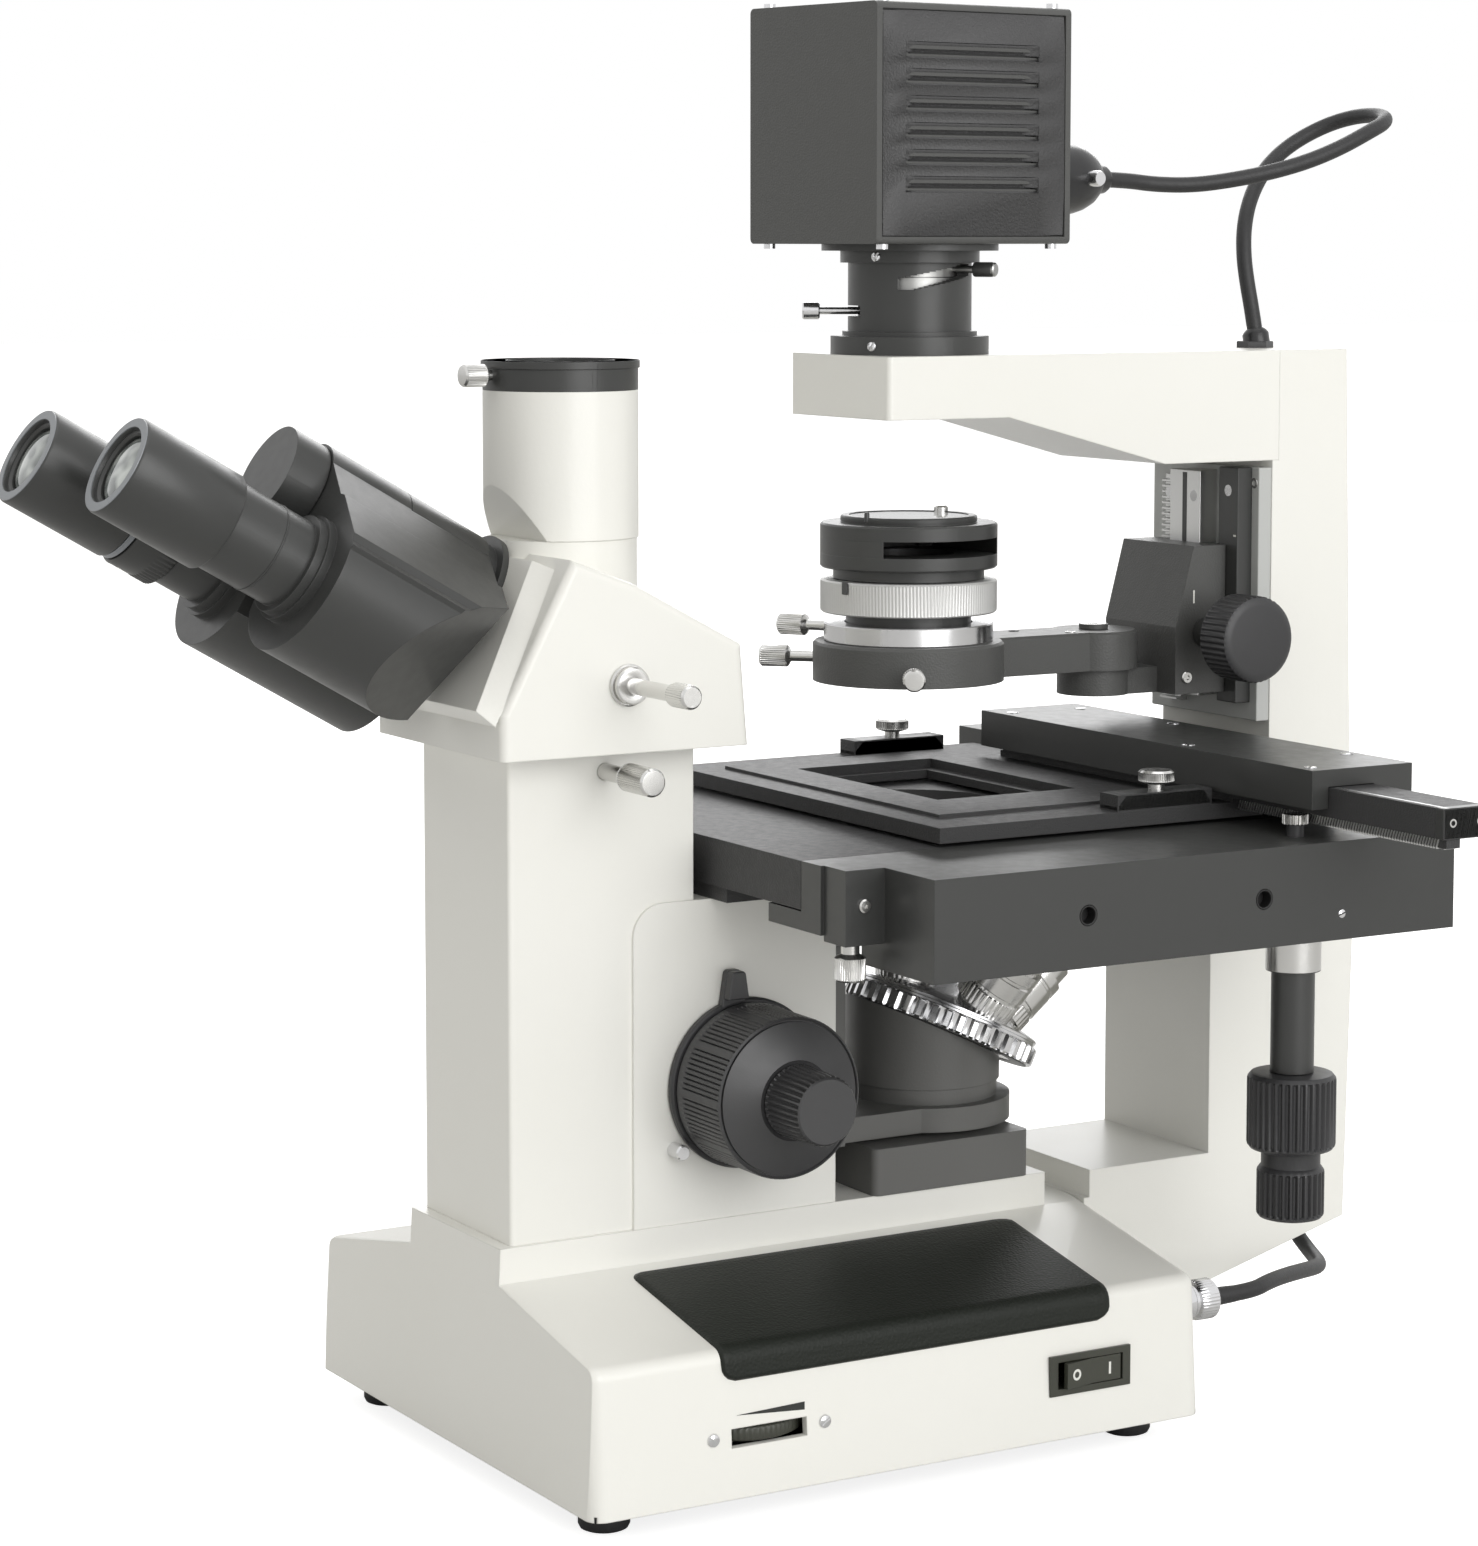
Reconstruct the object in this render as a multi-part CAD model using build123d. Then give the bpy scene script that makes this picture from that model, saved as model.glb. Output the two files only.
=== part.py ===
from build123d import *
import math
import os

# Inverted microscope, millimetres. The model is laid out about the base: X to the user's right, Y from the
# front edge of the base to the rear, Z up from the table. The last lines move it so that its origin lies on
# the table under the middle of the whole instrument.

# Fits and walls
RUNNING = 0.05                      # radial clearance of a shaft in its bearing
GAP = 0.3                           # air between pieces that pass each other
WALL = 3.0                          # sheet and cast covers
CAST_WALL = 5.0                     # column and arm castings

# Base
FOOT_HEIGHT = 10.0
FOOT_RADIUS = 9.0
FOOT_X = 86.0
FOOT_INSET_Y = 17.0
BASE_HALF = 110.0                   # half width at the underside
BASE_LENGTH = 252.5
SIDE_TOP_HALF = 106.5               # half width where the side meets the shoulder
SIDE_TOP_Z = 61.0
SHOULDER_Z = 74.4                   # shoulder height beside the plinth
PLINTH_HALF = 35.5
PLINTH_FRONT = 3.5
PLINTH_REAR = BASE_LENGTH - 19.0
PLINTH_Z = 87.0
PAD_FRONT = 51.0
PAD_REAR = 212.5
PAD_INNER_HALF = 41.0
PAD_THICKNESS = 1.4
PAD_DROP_Z = 50.5                   # lower edge of the pad on the side wall
PLATE_THICKNESS = 2.0
SWITCH_Y = 202.8
SWITCH_Z = 33.2
BEZEL_LENGTH = 34.9
BEZEL_HEIGHT = 14.6
ROCKER_LENGTH = 25.0
ROCKER_HEIGHT = 9.2
ROCKER_DEPTH = 5.0                  # pin behind the wall's face
ROCKER_PIN_RADIUS = 1.5
ROCKER_TILT = 6.0                   # degrees to each side of the middle
DIAL_Y = 69.3
DIAL_Z = 30.9
DIAL_RADIUS = 24.0
DIAL_THICKNESS = 5.4
DIAL_SLOT_LENGTH = 30.0
DIAL_SLOT_HEIGHT = 6.6
DIAL_SHAFT_RADIUS = 3.0
DIAL_SCREW_SPACING = 44.4
CONNECTOR_X = 92.0
CONNECTOR_Z = 47.0
CONNECTOR_RADIUS = 7.5
CONNECTOR_LENGTH = 24.5
INLET_X = -70.0
INLET_WIDTH = 27.0
INLET_HEIGHT = 20.0

# Front pillar and focus drive
PILLAR_HALF = 33.9
PILLAR_FRONT = 8.4
PILLAR_REAR = 141.0
PILLAR_STEP_Z = 203.6               # the stage stands on this step
PILLAR_NECK_REAR = 82.0
PILLAR_TOP_Z = 260.0
COVER_FRONT = 57.0
COVER_PROUD = 1.1
FOCUS_Y = 101.5
FOCUS_Z = 136.0
COARSE_SHAFT_RADIUS = 8.0
FINE_SHAFT_RADIUS = 4.0
BOSS_RADIUS = 13.0
TENSION_RADIUS = 31.0
TENSION_THICKNESS = 3.4
TENSION_LEVER_TOP = 42.4
COARSE_RADIUS = 29.5
COARSE_WIDTH = 30.0
COARSE_FACE_RADIUS = 13.6
COARSE_FACE_HEIGHT = 4.6
FINE_RADIUS = 13.2
FINE_END_X = 94.0
PEG_Y = 73.3
PEG_Z = 114.3

# Head and camera tube
HEAD_HALF = 50.0
HEAD_SIDE = [(-1.9, 260.0), (-1.9, 276.0), (26.0, 328.0), (50.0, 319.0), (93.0, 296.0), (96.0, 260.0)]
CAMERA_Y = 47.3
CAMERA_RADIUS = 27.6
CAMERA_SEAM_Z = 332.4
CAMERA_TOP_Z = 384.6
CAMERA_BORE = 21.0
NECK_RADIUS = 27.0
PORT_RADIUS = 28.2
PORT_TOP_Z = 395.0
PORT_BORE = 19.0
PORT_DEPTH = 9.0
ROD_Y = 47.0
ROD_Z = 284.0
ROD_RADIUS = 2.85
ROD_END_X = 95.0
ROD_KNOB_RADIUS = 4.25
HEAD_SCREW_Y = 46.4
HEAD_SCREW_Z = 252.0
HEAD_SCREW_RADIUS = 3.0

# Binocular, in the plane of its hub: X, up the slope, and the height above that plane toward the eyes
VIEW_TILT = 30.0
HUB_Y = 138.9
HUB_Z = 240.6
BINOCULAR_ROLL = 3.8                # the head is clamped with this small turn
ARM_X = 30.0                        # half of the eye distance at rest
ARM_DROP = 30.4
FLANGE_BACK = 140.5
FLANGE_FACE = 147.0
FLANGE_RADIUS = 21.0
BOSS_LOW = -44.0                    # ends of the raised boss along the slope
BOSS_HIGH = 15.0
BOSS_LOW_HALF = 45.0
BOSS_HIGH_HALF = 32.0
HUB_NECK_RADIUS = 17.5
HUB_PIN_RADIUS = 9.0
HOUSING_BACK = 154.0
HOUSING_SPLIT = 188.0
HOUSING_FRONT = 222.0
HUB_DISC_FRONT = 236.4
HUB_LUG_RADIUS = 18.5
HOUSING_RADIUS = 29.5
COLLAR_RADIUS = 19.5
COLLAR_FRONT = 228.0
OCULAR_RADIUS = 15.85
OCULAR_BORE = 12.4
EYEPIECE_RADIUS = 17.6
EYEPIECE_LENGTH = 40.0
EYEPIECE_SLEEVE = 11.6
RIGHT_RIM = 297.4
LEFT_RIM = 305.0
DIOPTER_RADIUS = 18.2
DIOPTER_LENGTH = 17.0

# Optical axis and objective carrier
AXIS_Y = 194.2
LIGHT_BOX_HALF = 36.5
LIGHT_BOX_FRONT = 157.0
LIGHT_BOX_REAR = 225.7
LIGHT_BOX_TOP = 104.5
BEAM_RADIUS = 12.0
BEAM_TUBE_RADIUS = 7.0
YOKE_BOTTOM = 106.3
YOKE_TOP = 115.5
SEAT_Y = 201.0
YOKE_RADIUS = 33.4
SEAT_RING_RADIUS = 28.5
SEAT_RING_TOP = 121.4
SEAT_RADIUS = 29.4
SLIDE_TOP = 180.0
SLIDE_THICKNESS = 8.5
TURRET_TILT = 25.5
TURRET_APEX_Z = 109.5               # all objective axes meet here, on the optical axis
TURRET_RADIUS = 38.3
TURRET_BOTTOM = 31.0                # heights from the apex along the turret axis
TURRET_TOP = 41.0
TURRET_CONE_TOP = 52.0
OBJECTIVE_SEAT = 51.6               # distance of every shoulder from the apex
OBJECTIVE_RADIUS = 12.0
OBJECTIVE_LENGTHS = [39.5, 33.0, 36.0, 27.0]
TURRET_PIVOT_RADIUS = 7.0

# Stage
STAGE_HALF = 99.0
STAGE_FRONT = 87.3
STAGE_REAR = 335.0
STAGE_BOTTOM = 209.0
STAGE_TOP = 226.0
STAGE_HOLE = 37.0
GUIDE_OUTER = 112.0
GUIDE_INNER = 77.4
GUIDE_BOTTOM = 202.0
GUIDE_LIP = 6.5
GUIDE_REAR = 304.0
APRON_OUTER = 157.0
APRON_FRONT = 104.0
APRON_REAR = 327.0
APRON_BOTTOM = 190.7
APRON_WALL = 4.0
APRON_HOLE_Y = [166.5, 241.5]
APRON_HOLE_Z = [208.8, 208.0]
APRON_HOLE_RADIUS = 3.7
BRACKET_FRONT = 88.6
BRACKET_OUTER = 126.0
BRACKET_BOTTOM = 200.0
LOCK_X = 119.5
LOCK_Y = 94.5
HOUSING_LEFT = -54.0
HOUSING_RIGHT = 155.0
HOUSING_Y0 = 263.5
HOUSING_Y1 = 308.5
HOUSING_Z0 = 237.5
HOUSING_Z1 = 251.5
BAR_LEFT = -50.0
BAR_RIGHT = 217.0
BAR_Y0 = 271.0
BAR_Y1 = 291.0
BAR_Z0 = 234.5
BAR_Z1 = 245.0
PLATE_LEFT = -91.5
PLATE_RIGHT = 99.5
PLATE_FRONT = 143.6
PLATE_REAR = 285.0
PLATE_Z0 = 227.4
PLATE_Z1 = 233.0
FRAME_LEFT = -73.0
FRAME_RIGHT = 78.6
FRAME_FRONT = 157.0
FRAME_REAR = 258.0
FRAME_HEIGHT = 1.2
WINDOW_LEFT = -51.5
WINDOW_RIGHT = 47.0
WINDOW_FRONT = 177.0
WINDOW_REAR = 238.0
WINDOW_LEDGE = 5.0
CLIP_LENGTH = 42.0
CLIP_WIDTH = 11.0
CLIP_HEIGHT = 6.0
CLIP_Y = 241.0
CLIP_SCREW_RADIUS = 7.0
DRIVE_X = 140.0
DRIVE_Y = 268.0
X_PINION_RADIUS = 4.7
X_RACK_FRONT = 273.0
Y_PINION_RADIUS = 8.0
Y_RACK_WIDTH = 5.7
DRIVE_COLLAR_RADIUS = 9.8
DRIVE_TUBE_RADIUS = 7.8
DRIVE_COLLAR_Z = 178.0
BIG_KNOB_RADIUS = 15.9
BIG_KNOB_Z0 = 113.0
BIG_KNOB_Z1 = 141.0
SMALL_KNOB_RADIUS = 12.1
SMALL_KNOB_Z0 = 88.0
SMALL_KNOB_Z1 = 107.0
OUTER_SHAFT_RADIUS = 5.5
INNER_SHAFT_RADIUS = 3.0

# Column, arm and condenser rail
COLUMN_HALF = 34.4
TAIL_FRONT = BASE_LENGTH + 2.5
TAIL_TOP = 85.0
TAIL_LOW_Z = 18.6
TAIL_REAR = (377.6, 52.2)
LOWER_COLUMN_FRONT = 311.0
LOWER_COLUMN_TOP = 203.0
COLUMN_FRONT = 338.0
COLUMN_REAR_MIDDLE = 380.5
COLUMN_REAR_TOP = 373.4
ARM_TOP = 395.0
ARM_FRONT = 163.3
ARM_SEAM = 341.0
ARM_SIDE = [(ARM_FRONT, 372.0), (216.0, 372.0), (287.0, 352.8), (ARM_SEAM, 352.8)]
STRIP_FRONT = 332.0
STRIP_BOTTOM = 252.0
STRIP_TOP = 350.0
RACK_LEFT = -21.6
RACK_RIGHT = -10.6
RACK_FRONT = 326.8
RAIL_HALF = 9.7
RAIL_FRONT = 322.0
RAIL_BOTTOM = 260.0
RAIL_TOP = 348.0
STOP_LEFT = 17.7
STOP_RIGHT = 29.8
STOP_FRONT = 325.0
CARRIAGE_HALF = 23.0
CARRIAGE_TOP = 320.0
CARRIAGE_BOTTOM = 263.0
CARRIAGE_FRONT = 301.3
KNOB_Y = 315.0
KNOB_Z = 286.5
KNOB_RADIUS = 16.5
KNOB_X0 = 41.0
KNOB_X1 = 57.5
KNOB_SHAFT_RADIUS = 5.0
PIVOT_Y = 279.0
PIVOT_RADIUS = 5.0
LUG_TOP = 273.0
ARM_THICKNESS = 14.8
ARM_RING_RADIUS = 35.9
ARM_RING_BORE = 24.0
ARM_HALF = 13.0
PIVOT_BOSS_RADIUS = 17.0
NOTCH_AZIMUTH = 196.0

# Condenser
POLISHED_RADIUS = 31.6
POLISHED_TOP = 294.7
BARREL_RADIUS = 23.5
APERTURE_RADIUS = 33.1
APERTURE_Z0 = 298.7
APERTURE_Z1 = 311.2
CONDENSER_NECK_RADIUS = 28.3
CONDENSER_RADIUS = 33.2
CONDENSER_Z0 = 315.5
CONDENSER_Z1 = 332.3
FILTER_Z0 = 320.8
FILTER_Z1 = 326.9
FILTER_HALF = 25.0
LENS_PLATE_RADIUS = 25.5
LENS_PLATE_TOP = 334.6
CONDENSER_LENS_RADIUS = 17.0
SIDE_SCREWS = {                     # azimuth in degrees, height, first and last distance from the axis
    "condenser_clamp_screw": (212.0, 291.6, 27.0, 54.0),
    "centring_screw_left": (226.0, 280.6, 33.0, 57.0),
    "centring_screw_right": (330.0, 277.5, 33.0, 48.5),
}

# Lamp
LAMP_TURN = 7.4
LAMP_HALF_X = 36.7
LAMP_HALF_Y = 46.6
LAMP_Z0 = 435.7
LAMP_Z1 = 522.1
LAMP_FLANGE_RADIUS = 29.5
LAMP_FLANGE_TOP = 401.8
LAMP_TUBE_RADIUS = 23.0
LAMP_TUBE_TOP = 428.8
LAMP_TUBE_BORE = 18.4
LAMP_RING_RADIUS = 25.9
LAMP_RING_TOP = 433.2
LAMP_PLATE_RADIUS = 32.9
PANEL_RECESS = 1.4
LOUVRE_COUNT = 6
LOUVRE_PITCH = 9.6
LOUVRE_LENGTH = 62.0
FIELD_AZIMUTH = 239.7
FIELD_Z = 411.0
FIELD_TIP = 40.0
COLLECTOR_AZIMUTH = 32.2
COLLECTOR_Z = 426.3
COLLECTOR_TURN = 71.0
COLLECTOR_DROP = 5.4
COLLECTOR_TIP = 35.0
DOME_X = 17.0
DOME_Z = 460.0
DOME_RADIUS = 13.5
DOME_LENGTH = 33.0

# Cords: chosen points of their centre lines
CORD_RADIUS = 3.0
GROMMET_RADIUS = 5.2
LAMP_CORD = [
    (6.6, 275.4, 460.0), (4.9, 288.3, 459.8), (6.0, 302.0, 458.2), (11.0, 316.5, 458.0),
    (16.5, 331.5, 460.1), (21.5, 346.5, 463.2), (25.0, 361.5, 467.4), (27.0, 376.0, 473.0),
    (26.5, 389.5, 479.0), (22.0, 400.5, 482.6), (13.6, 408.0, 485.0), (2.8, 410.8, 486.4),
    (-8.2, 408.8, 485.8), (-17.0, 402.0, 482.5), (-21.8, 390.5, 476.0), (-21.5, 379.0, 468.3),
    (-17.5, 369.0, 460.0), (-12.5, 360.8, 450.9), (-8.0, 355.3, 441.0), (-4.5, 352.8, 430.5),
    (-1.5, 352.3, 420.3), (0.6, 353.0, 410.6), (1.8, 354.0, 401.0),
]
BASE_CORD = [
    (92.0, 277.0, 47.0), (92.0, 289.0, 47.0), (86.0, 301.0, 47.4), (76.0, 317.0, 45.4),
    (63.5, 335.5, 42.0), (49.5, 353.5, 37.8), (35.5, 365.5, 34.8), (22.5, 371.3, 35.3),
    (11.4, 372.3, 41.0), (4.6, 370.4, 49.6),
]


def block(x0, x1, y0, y1, z0, z1):
    """A box between two corners."""
    return Pos((x0 + x1) / 2, (y0 + y1) / 2, (z0 + z1) / 2) * Box(x1 - x0, y1 - y0, z1 - z0)


def round_bar(start, direction, radius, length):
    """A cylinder that starts at a point and runs along a direction."""
    align = (Align.CENTER, Align.CENTER, Align.MIN)
    return Plane(origin=start, z_dir=direction) * Cylinder(radius, length, align=align)


def cone_bar(start, direction, radius, end_radius, length):
    """A truncated cone that starts at a point and runs along a direction."""
    align = (Align.CENTER, Align.CENTER, Align.MIN)
    return Plane(origin=start, z_dir=direction) * Cone(radius, end_radius, length, align=align)


def disc(x, y, z0, z1, radius, bore=0):
    """An upright cylinder between two heights, with an optional bore."""
    solid = round_bar((x, y, z0), (0, 0, 1), radius, z1 - z0)
    if bore:
        solid = solid - round_bar((x, y, z0 - 1), (0, 0, 1), bore, z1 - z0 + 2)
    return solid


def side_prism(points, x0, x1):
    """An outline of Y and Z values, extruded along X."""
    outline = Polyline(*[(y, z) for y, z in points], close=True)
    plane = Plane(origin=(x0, 0, 0), x_dir=(0, 1, 0), z_dir=(1, 0, 0))
    return extrude(plane * make_face(outline), x1 - x0)


def front_prism(points, y0, y1):
    """An outline of X and Z values, extruded along Y."""
    outline = Polyline(*[(x, z) for x, z in points], close=True)
    plane = Plane(origin=(0, y1, 0), x_dir=(1, 0, 0), z_dir=(0, -1, 0))
    return extrude(plane * make_face(outline), y1 - y0)


def pie(azimuth0, azimuth1, radius, z0, z1, y=AXIS_Y):
    """A wedge of a disc round an upright axis on X = 0, for slots in tubes."""
    steps = max(2, math.ceil(abs(azimuth1 - azimuth0) / 15))
    rim = []
    for step in range(steps + 1):
        angle = math.radians(azimuth0 + (azimuth1 - azimuth0) * step / steps)
        rim.append((radius * math.cos(angle), y + radius * math.sin(angle)))
    return extrude(Pos(0, 0, z0) * make_face(Polyline((0, y), *rim, close=True)), z1 - z0)


def direction_of(azimuth):
    """Level unit direction at an azimuth in degrees."""
    return (math.cos(math.radians(azimuth)), math.sin(math.radians(azimuth)), 0)


def side_wall_x(z):
    """X of the base's outer side wall at a height."""
    share = (z - FOOT_HEIGHT) / (SIDE_TOP_Z - FOOT_HEIGHT)
    return BASE_HALF + (SIDE_TOP_HALF - BASE_HALF) * share


def thumb_screw(start, direction, shank_radius, shank_length, head_radius, head_length):
    """A knurled thumb screw: shank first, head beyond it."""
    shank = round_bar(start, direction, shank_radius, shank_length + 1)
    head_start = Vector(*start) + Vector(*direction).normalized() * shank_length
    head = round_bar(tuple(head_start), direction, head_radius, head_length)
    return shank + chamfer(head.edges().filter_by(GeomType.CIRCLE), 0.5)


# Base

def base_outline(inset):
    """Cross section of the base cover without its plinth, moved in by a wall."""
    side = BASE_HALF - inset
    top = SIDE_TOP_HALF - inset
    return [
        (-side, FOOT_HEIGHT), (side, FOOT_HEIGHT), (top, SIDE_TOP_Z - inset),
        (PLINTH_HALF, SHOULDER_Z - inset), (-PLINTH_HALF, SHOULDER_Z - inset), (-top, SIDE_TOP_Z - inset),
    ]


def base_housing():
    """Enamelled cover of the base with its plinth, open below."""
    cover = front_prism(base_outline(0), 0, BASE_LENGTH)
    upright = [e for e in cover.edges() if abs(e.tangent_at(0.5).Z) > 0.9]
    cover = fillet(upright, 6.0)
    rims = [e for e in cover.edges().filter_by(Axis.Y) if abs(e.center().Z - SIDE_TOP_Z) < 1]
    cover = fillet(rims, 5.0)
    cover += block(-PLINTH_HALF, PLINTH_HALF, 0, PLINTH_REAR, SHOULDER_Z - 1, PLINTH_Z)
    draft = [(-1, FOOT_HEIGHT), (0, FOOT_HEIGHT), (PLINTH_FRONT, PLINTH_Z), (PLINTH_FRONT, PLINTH_Z + 1),
             (-1, PLINTH_Z + 1)]
    cover -= side_prism(draft, -BASE_HALF - 1, BASE_HALF + 1)
    cover -= front_prism(base_outline(WALL), PLINTH_FRONT + WALL, BASE_LENGTH - WALL)
    inner_half = PLINTH_HALF - WALL
    cover -= block(-inner_half, inner_half, PLINTH_FRONT + WALL, PLINTH_REAR - WALL, SHOULDER_Z - 8, PLINTH_Z - WALL)
    rebate = BASE_HALF - WALL / 2
    cover -= block(-rebate, rebate, WALL / 2, BASE_LENGTH - WALL / 2, FOOT_HEIGHT, FOOT_HEIGHT + PLATE_THICKNESS)
    slot = (DIAL_SLOT_LENGTH / 2, DIAL_SLOT_HEIGHT / 2)
    face = side_wall_x(DIAL_Z)
    cover -= block(face - 15, face + 5, DIAL_Y - slot[0], DIAL_Y + slot[0], DIAL_Z - slot[1], DIAL_Z + slot[1])
    hole = (BEZEL_LENGTH / 2 - 2, BEZEL_HEIGHT / 2 - 1)
    face = side_wall_x(SWITCH_Z)
    cover -= block(face - 15, face + 5, SWITCH_Y - hole[0], SWITCH_Y + hole[0],
                   SWITCH_Z - hole[1], SWITCH_Z + hole[1])
    cover -= round_bar((CONNECTOR_X, BASE_LENGTH - 10, CONNECTOR_Z), (0, 1, 0), CONNECTOR_RADIUS - 1.5, 20)
    inlet = (INLET_WIDTH / 2, INLET_HEIGHT / 2)
    cover -= block(INLET_X - inlet[0], INLET_X + inlet[0], BASE_LENGTH - 10, BASE_LENGTH + 1,
                   CONNECTOR_Z - inlet[1], CONNECTOR_Z + inlet[1])
    cover -= bezel_frame()
    for screw in dial_screws():
        cover -= screw
    return cover


def dial_screws():
    """The two small screws beside the dial slot."""
    start = side_wall_x(DIAL_Z) - 2
    offsets = (-DIAL_SCREW_SPACING / 2, DIAL_SCREW_SPACING / 2)
    return [round_bar((start, DIAL_Y + offset, DIAL_Z + 0.6), (1, 0, 0), 2.2, 2.6) for offset in offsets]


def bezel_frame():
    """Outer frame of the rocker's bezel."""
    half_y = BEZEL_LENGTH / 2
    half_z = BEZEL_HEIGHT / 2
    face = side_wall_x(SWITCH_Z)
    return block(face, face + 1.2, SWITCH_Y - half_y, SWITCH_Y + half_y, SWITCH_Z - half_z, SWITCH_Z + half_z)


def base_plate():
    """Underside plate in the rebate of the cover."""
    half = BASE_HALF - WALL / 2
    plate = block(-half, half, WALL / 2, BASE_LENGTH - WALL / 2, FOOT_HEIGHT, FOOT_HEIGHT + PLATE_THICKNESS)
    return fillet(plate.edges().filter_by(Axis.Z), 4.5)


def feet():
    """Four rubber feet under the plate."""
    rear = BASE_LENGTH - FOOT_INSET_Y
    places = [(FOOT_X, FOOT_INSET_Y), (-FOOT_X, FOOT_INSET_Y), (FOOT_X, rear), (-FOOT_X, rear)]
    return [chamfer(disc(x, y, 0, FOOT_HEIGHT, FOOT_RADIUS).edges().group_by(Axis.Z)[0], 1.5) for x, y in places]


def hand_rest_pads():
    """Textured pads on both shoulders, bent down over the side edge."""
    pads = []
    lift = PAD_THICKNESS
    slope = (SHOULDER_Z - SIDE_TOP_Z) / (SIDE_TOP_HALF - PLINTH_HALF)
    inner_z = SHOULDER_Z - (PAD_INNER_HALF - PLINTH_HALF) * slope
    low_x = side_wall_x(PAD_DROP_Z)
    for side in (1, -1):
        upper = [(PAD_INNER_HALF, inner_z), (SIDE_TOP_HALF, SIDE_TOP_Z), (low_x, PAD_DROP_Z),
                 (low_x + lift, PAD_DROP_Z), (SIDE_TOP_HALF + lift, SIDE_TOP_Z + lift * 0.6),
                 (PAD_INNER_HALF, inner_z + lift)]
        pad = front_prism([(side * x, z) for x, z in upper], PAD_FRONT, PAD_REAR)
        cover = front_prism(base_outline(0), PAD_FRONT - 5, PAD_REAR + 5)
        rims = [e for e in cover.edges().filter_by(Axis.Y) if abs(e.center().Z - SIDE_TOP_Z) < 1]
        bend = [(SIDE_TOP_HALF - 11.5, SIDE_TOP_Z - 1), (SIDE_TOP_HALF + 1, SIDE_TOP_Z - 1),
                (SIDE_TOP_HALF - 2.5, SIDE_TOP_Z + 3)]
        pad += front_prism([(side * x, z) for x, z in bend], PAD_FRONT, PAD_REAR)
        pads.append(pad - fillet(rims, 5.0))
    return pads


def switch_bezel():
    """Frame of the mains rocker, let into the right wall, with its shallow box behind."""
    half_y = BEZEL_LENGTH / 2
    half_z = BEZEL_HEIGHT / 2
    face = side_wall_x(SWITCH_Z)
    frame = bezel_frame()
    frame += block(face - 20, face, SWITCH_Y - half_y + 2.2, SWITCH_Y + half_y - 2.2,
                   SWITCH_Z - half_z + 1.2, SWITCH_Z + half_z - 1.2)
    room_y = ROCKER_LENGTH / 2 + 1.6
    room_z = ROCKER_HEIGHT / 2 + GAP
    frame -= block(face - 12, face + 5, SWITCH_Y - room_y, SWITCH_Y + room_y,
                   SWITCH_Z - room_z, SWITCH_Z + room_z)
    return frame - rocker_pin(RUNNING)


def rocker_pin(clearance=0.0):
    """Upright pin of the rocker, which turns in the bezel's box."""
    half = ROCKER_HEIGHT / 2 + 1.2 + clearance
    x = side_wall_x(SWITCH_Z) - ROCKER_DEPTH
    return disc(x, SWITCH_Y, SWITCH_Z - half, SWITCH_Z + half, ROCKER_PIN_RADIUS + clearance)


def rocker():
    """Rocker cap, pressed at its rear end, on an upright pin."""
    face = side_wall_x(SWITCH_Z)
    half_y = ROCKER_LENGTH / 2
    depth = ROCKER_DEPTH
    outline = [(-1.5, -4), (-1.5, 4), (depth + 0.4, half_y), (depth + 2.4, half_y), (depth + 1.2, 0),
               (depth + 2.4, -half_y), (depth + 0.4, -half_y)]
    cap = Pos(0, 0, -ROCKER_HEIGHT / 2) * extrude(make_face(Polyline(*outline, close=True)), ROCKER_HEIGHT)
    return Pos(face - depth, SWITCH_Y, SWITCH_Z) * Rot(0, 0, ROCKER_TILT) * cap + rocker_pin()


def brightness_dial():
    """Brightness wheel behind the slot, on its upright potentiometer shaft."""
    x = side_wall_x(DIAL_Z) - 0.4 - DIAL_RADIUS
    wheel = disc(x, DIAL_Y, DIAL_Z - DIAL_THICKNESS / 2, DIAL_Z + DIAL_THICKNESS / 2, DIAL_RADIUS)
    wheel = chamfer(wheel.edges(), 0.6)
    return wheel + disc(x, DIAL_Y, FOOT_HEIGHT + PLATE_THICKNESS + 6, DIAL_Z, DIAL_SHAFT_RADIUS)


def power_unit():
    """Potentiometer, control board and transformer on the underside plate."""
    floor = FOOT_HEIGHT + PLATE_THICKNESS
    x = side_wall_x(DIAL_Z) - 0.4 - DIAL_RADIUS
    pot = disc(x, DIAL_Y, floor, DIAL_Z - DIAL_THICKNESS / 2 - 1, 8)
    pot -= disc(x, DIAL_Y, floor + 5, DIAL_Z, DIAL_SHAFT_RADIUS + RUNNING)
    board = block(-20, 60, 100, 180, floor, floor + 8)
    board += block(30, 50, 110, 130, floor + 8, floor + 30)
    transformer = block(-80, -30, 110, 170, floor, floor + 42)
    core = block(-86, -24, 122, 158, floor, floor + 34)
    return [pot, board, transformer + core]


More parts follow.
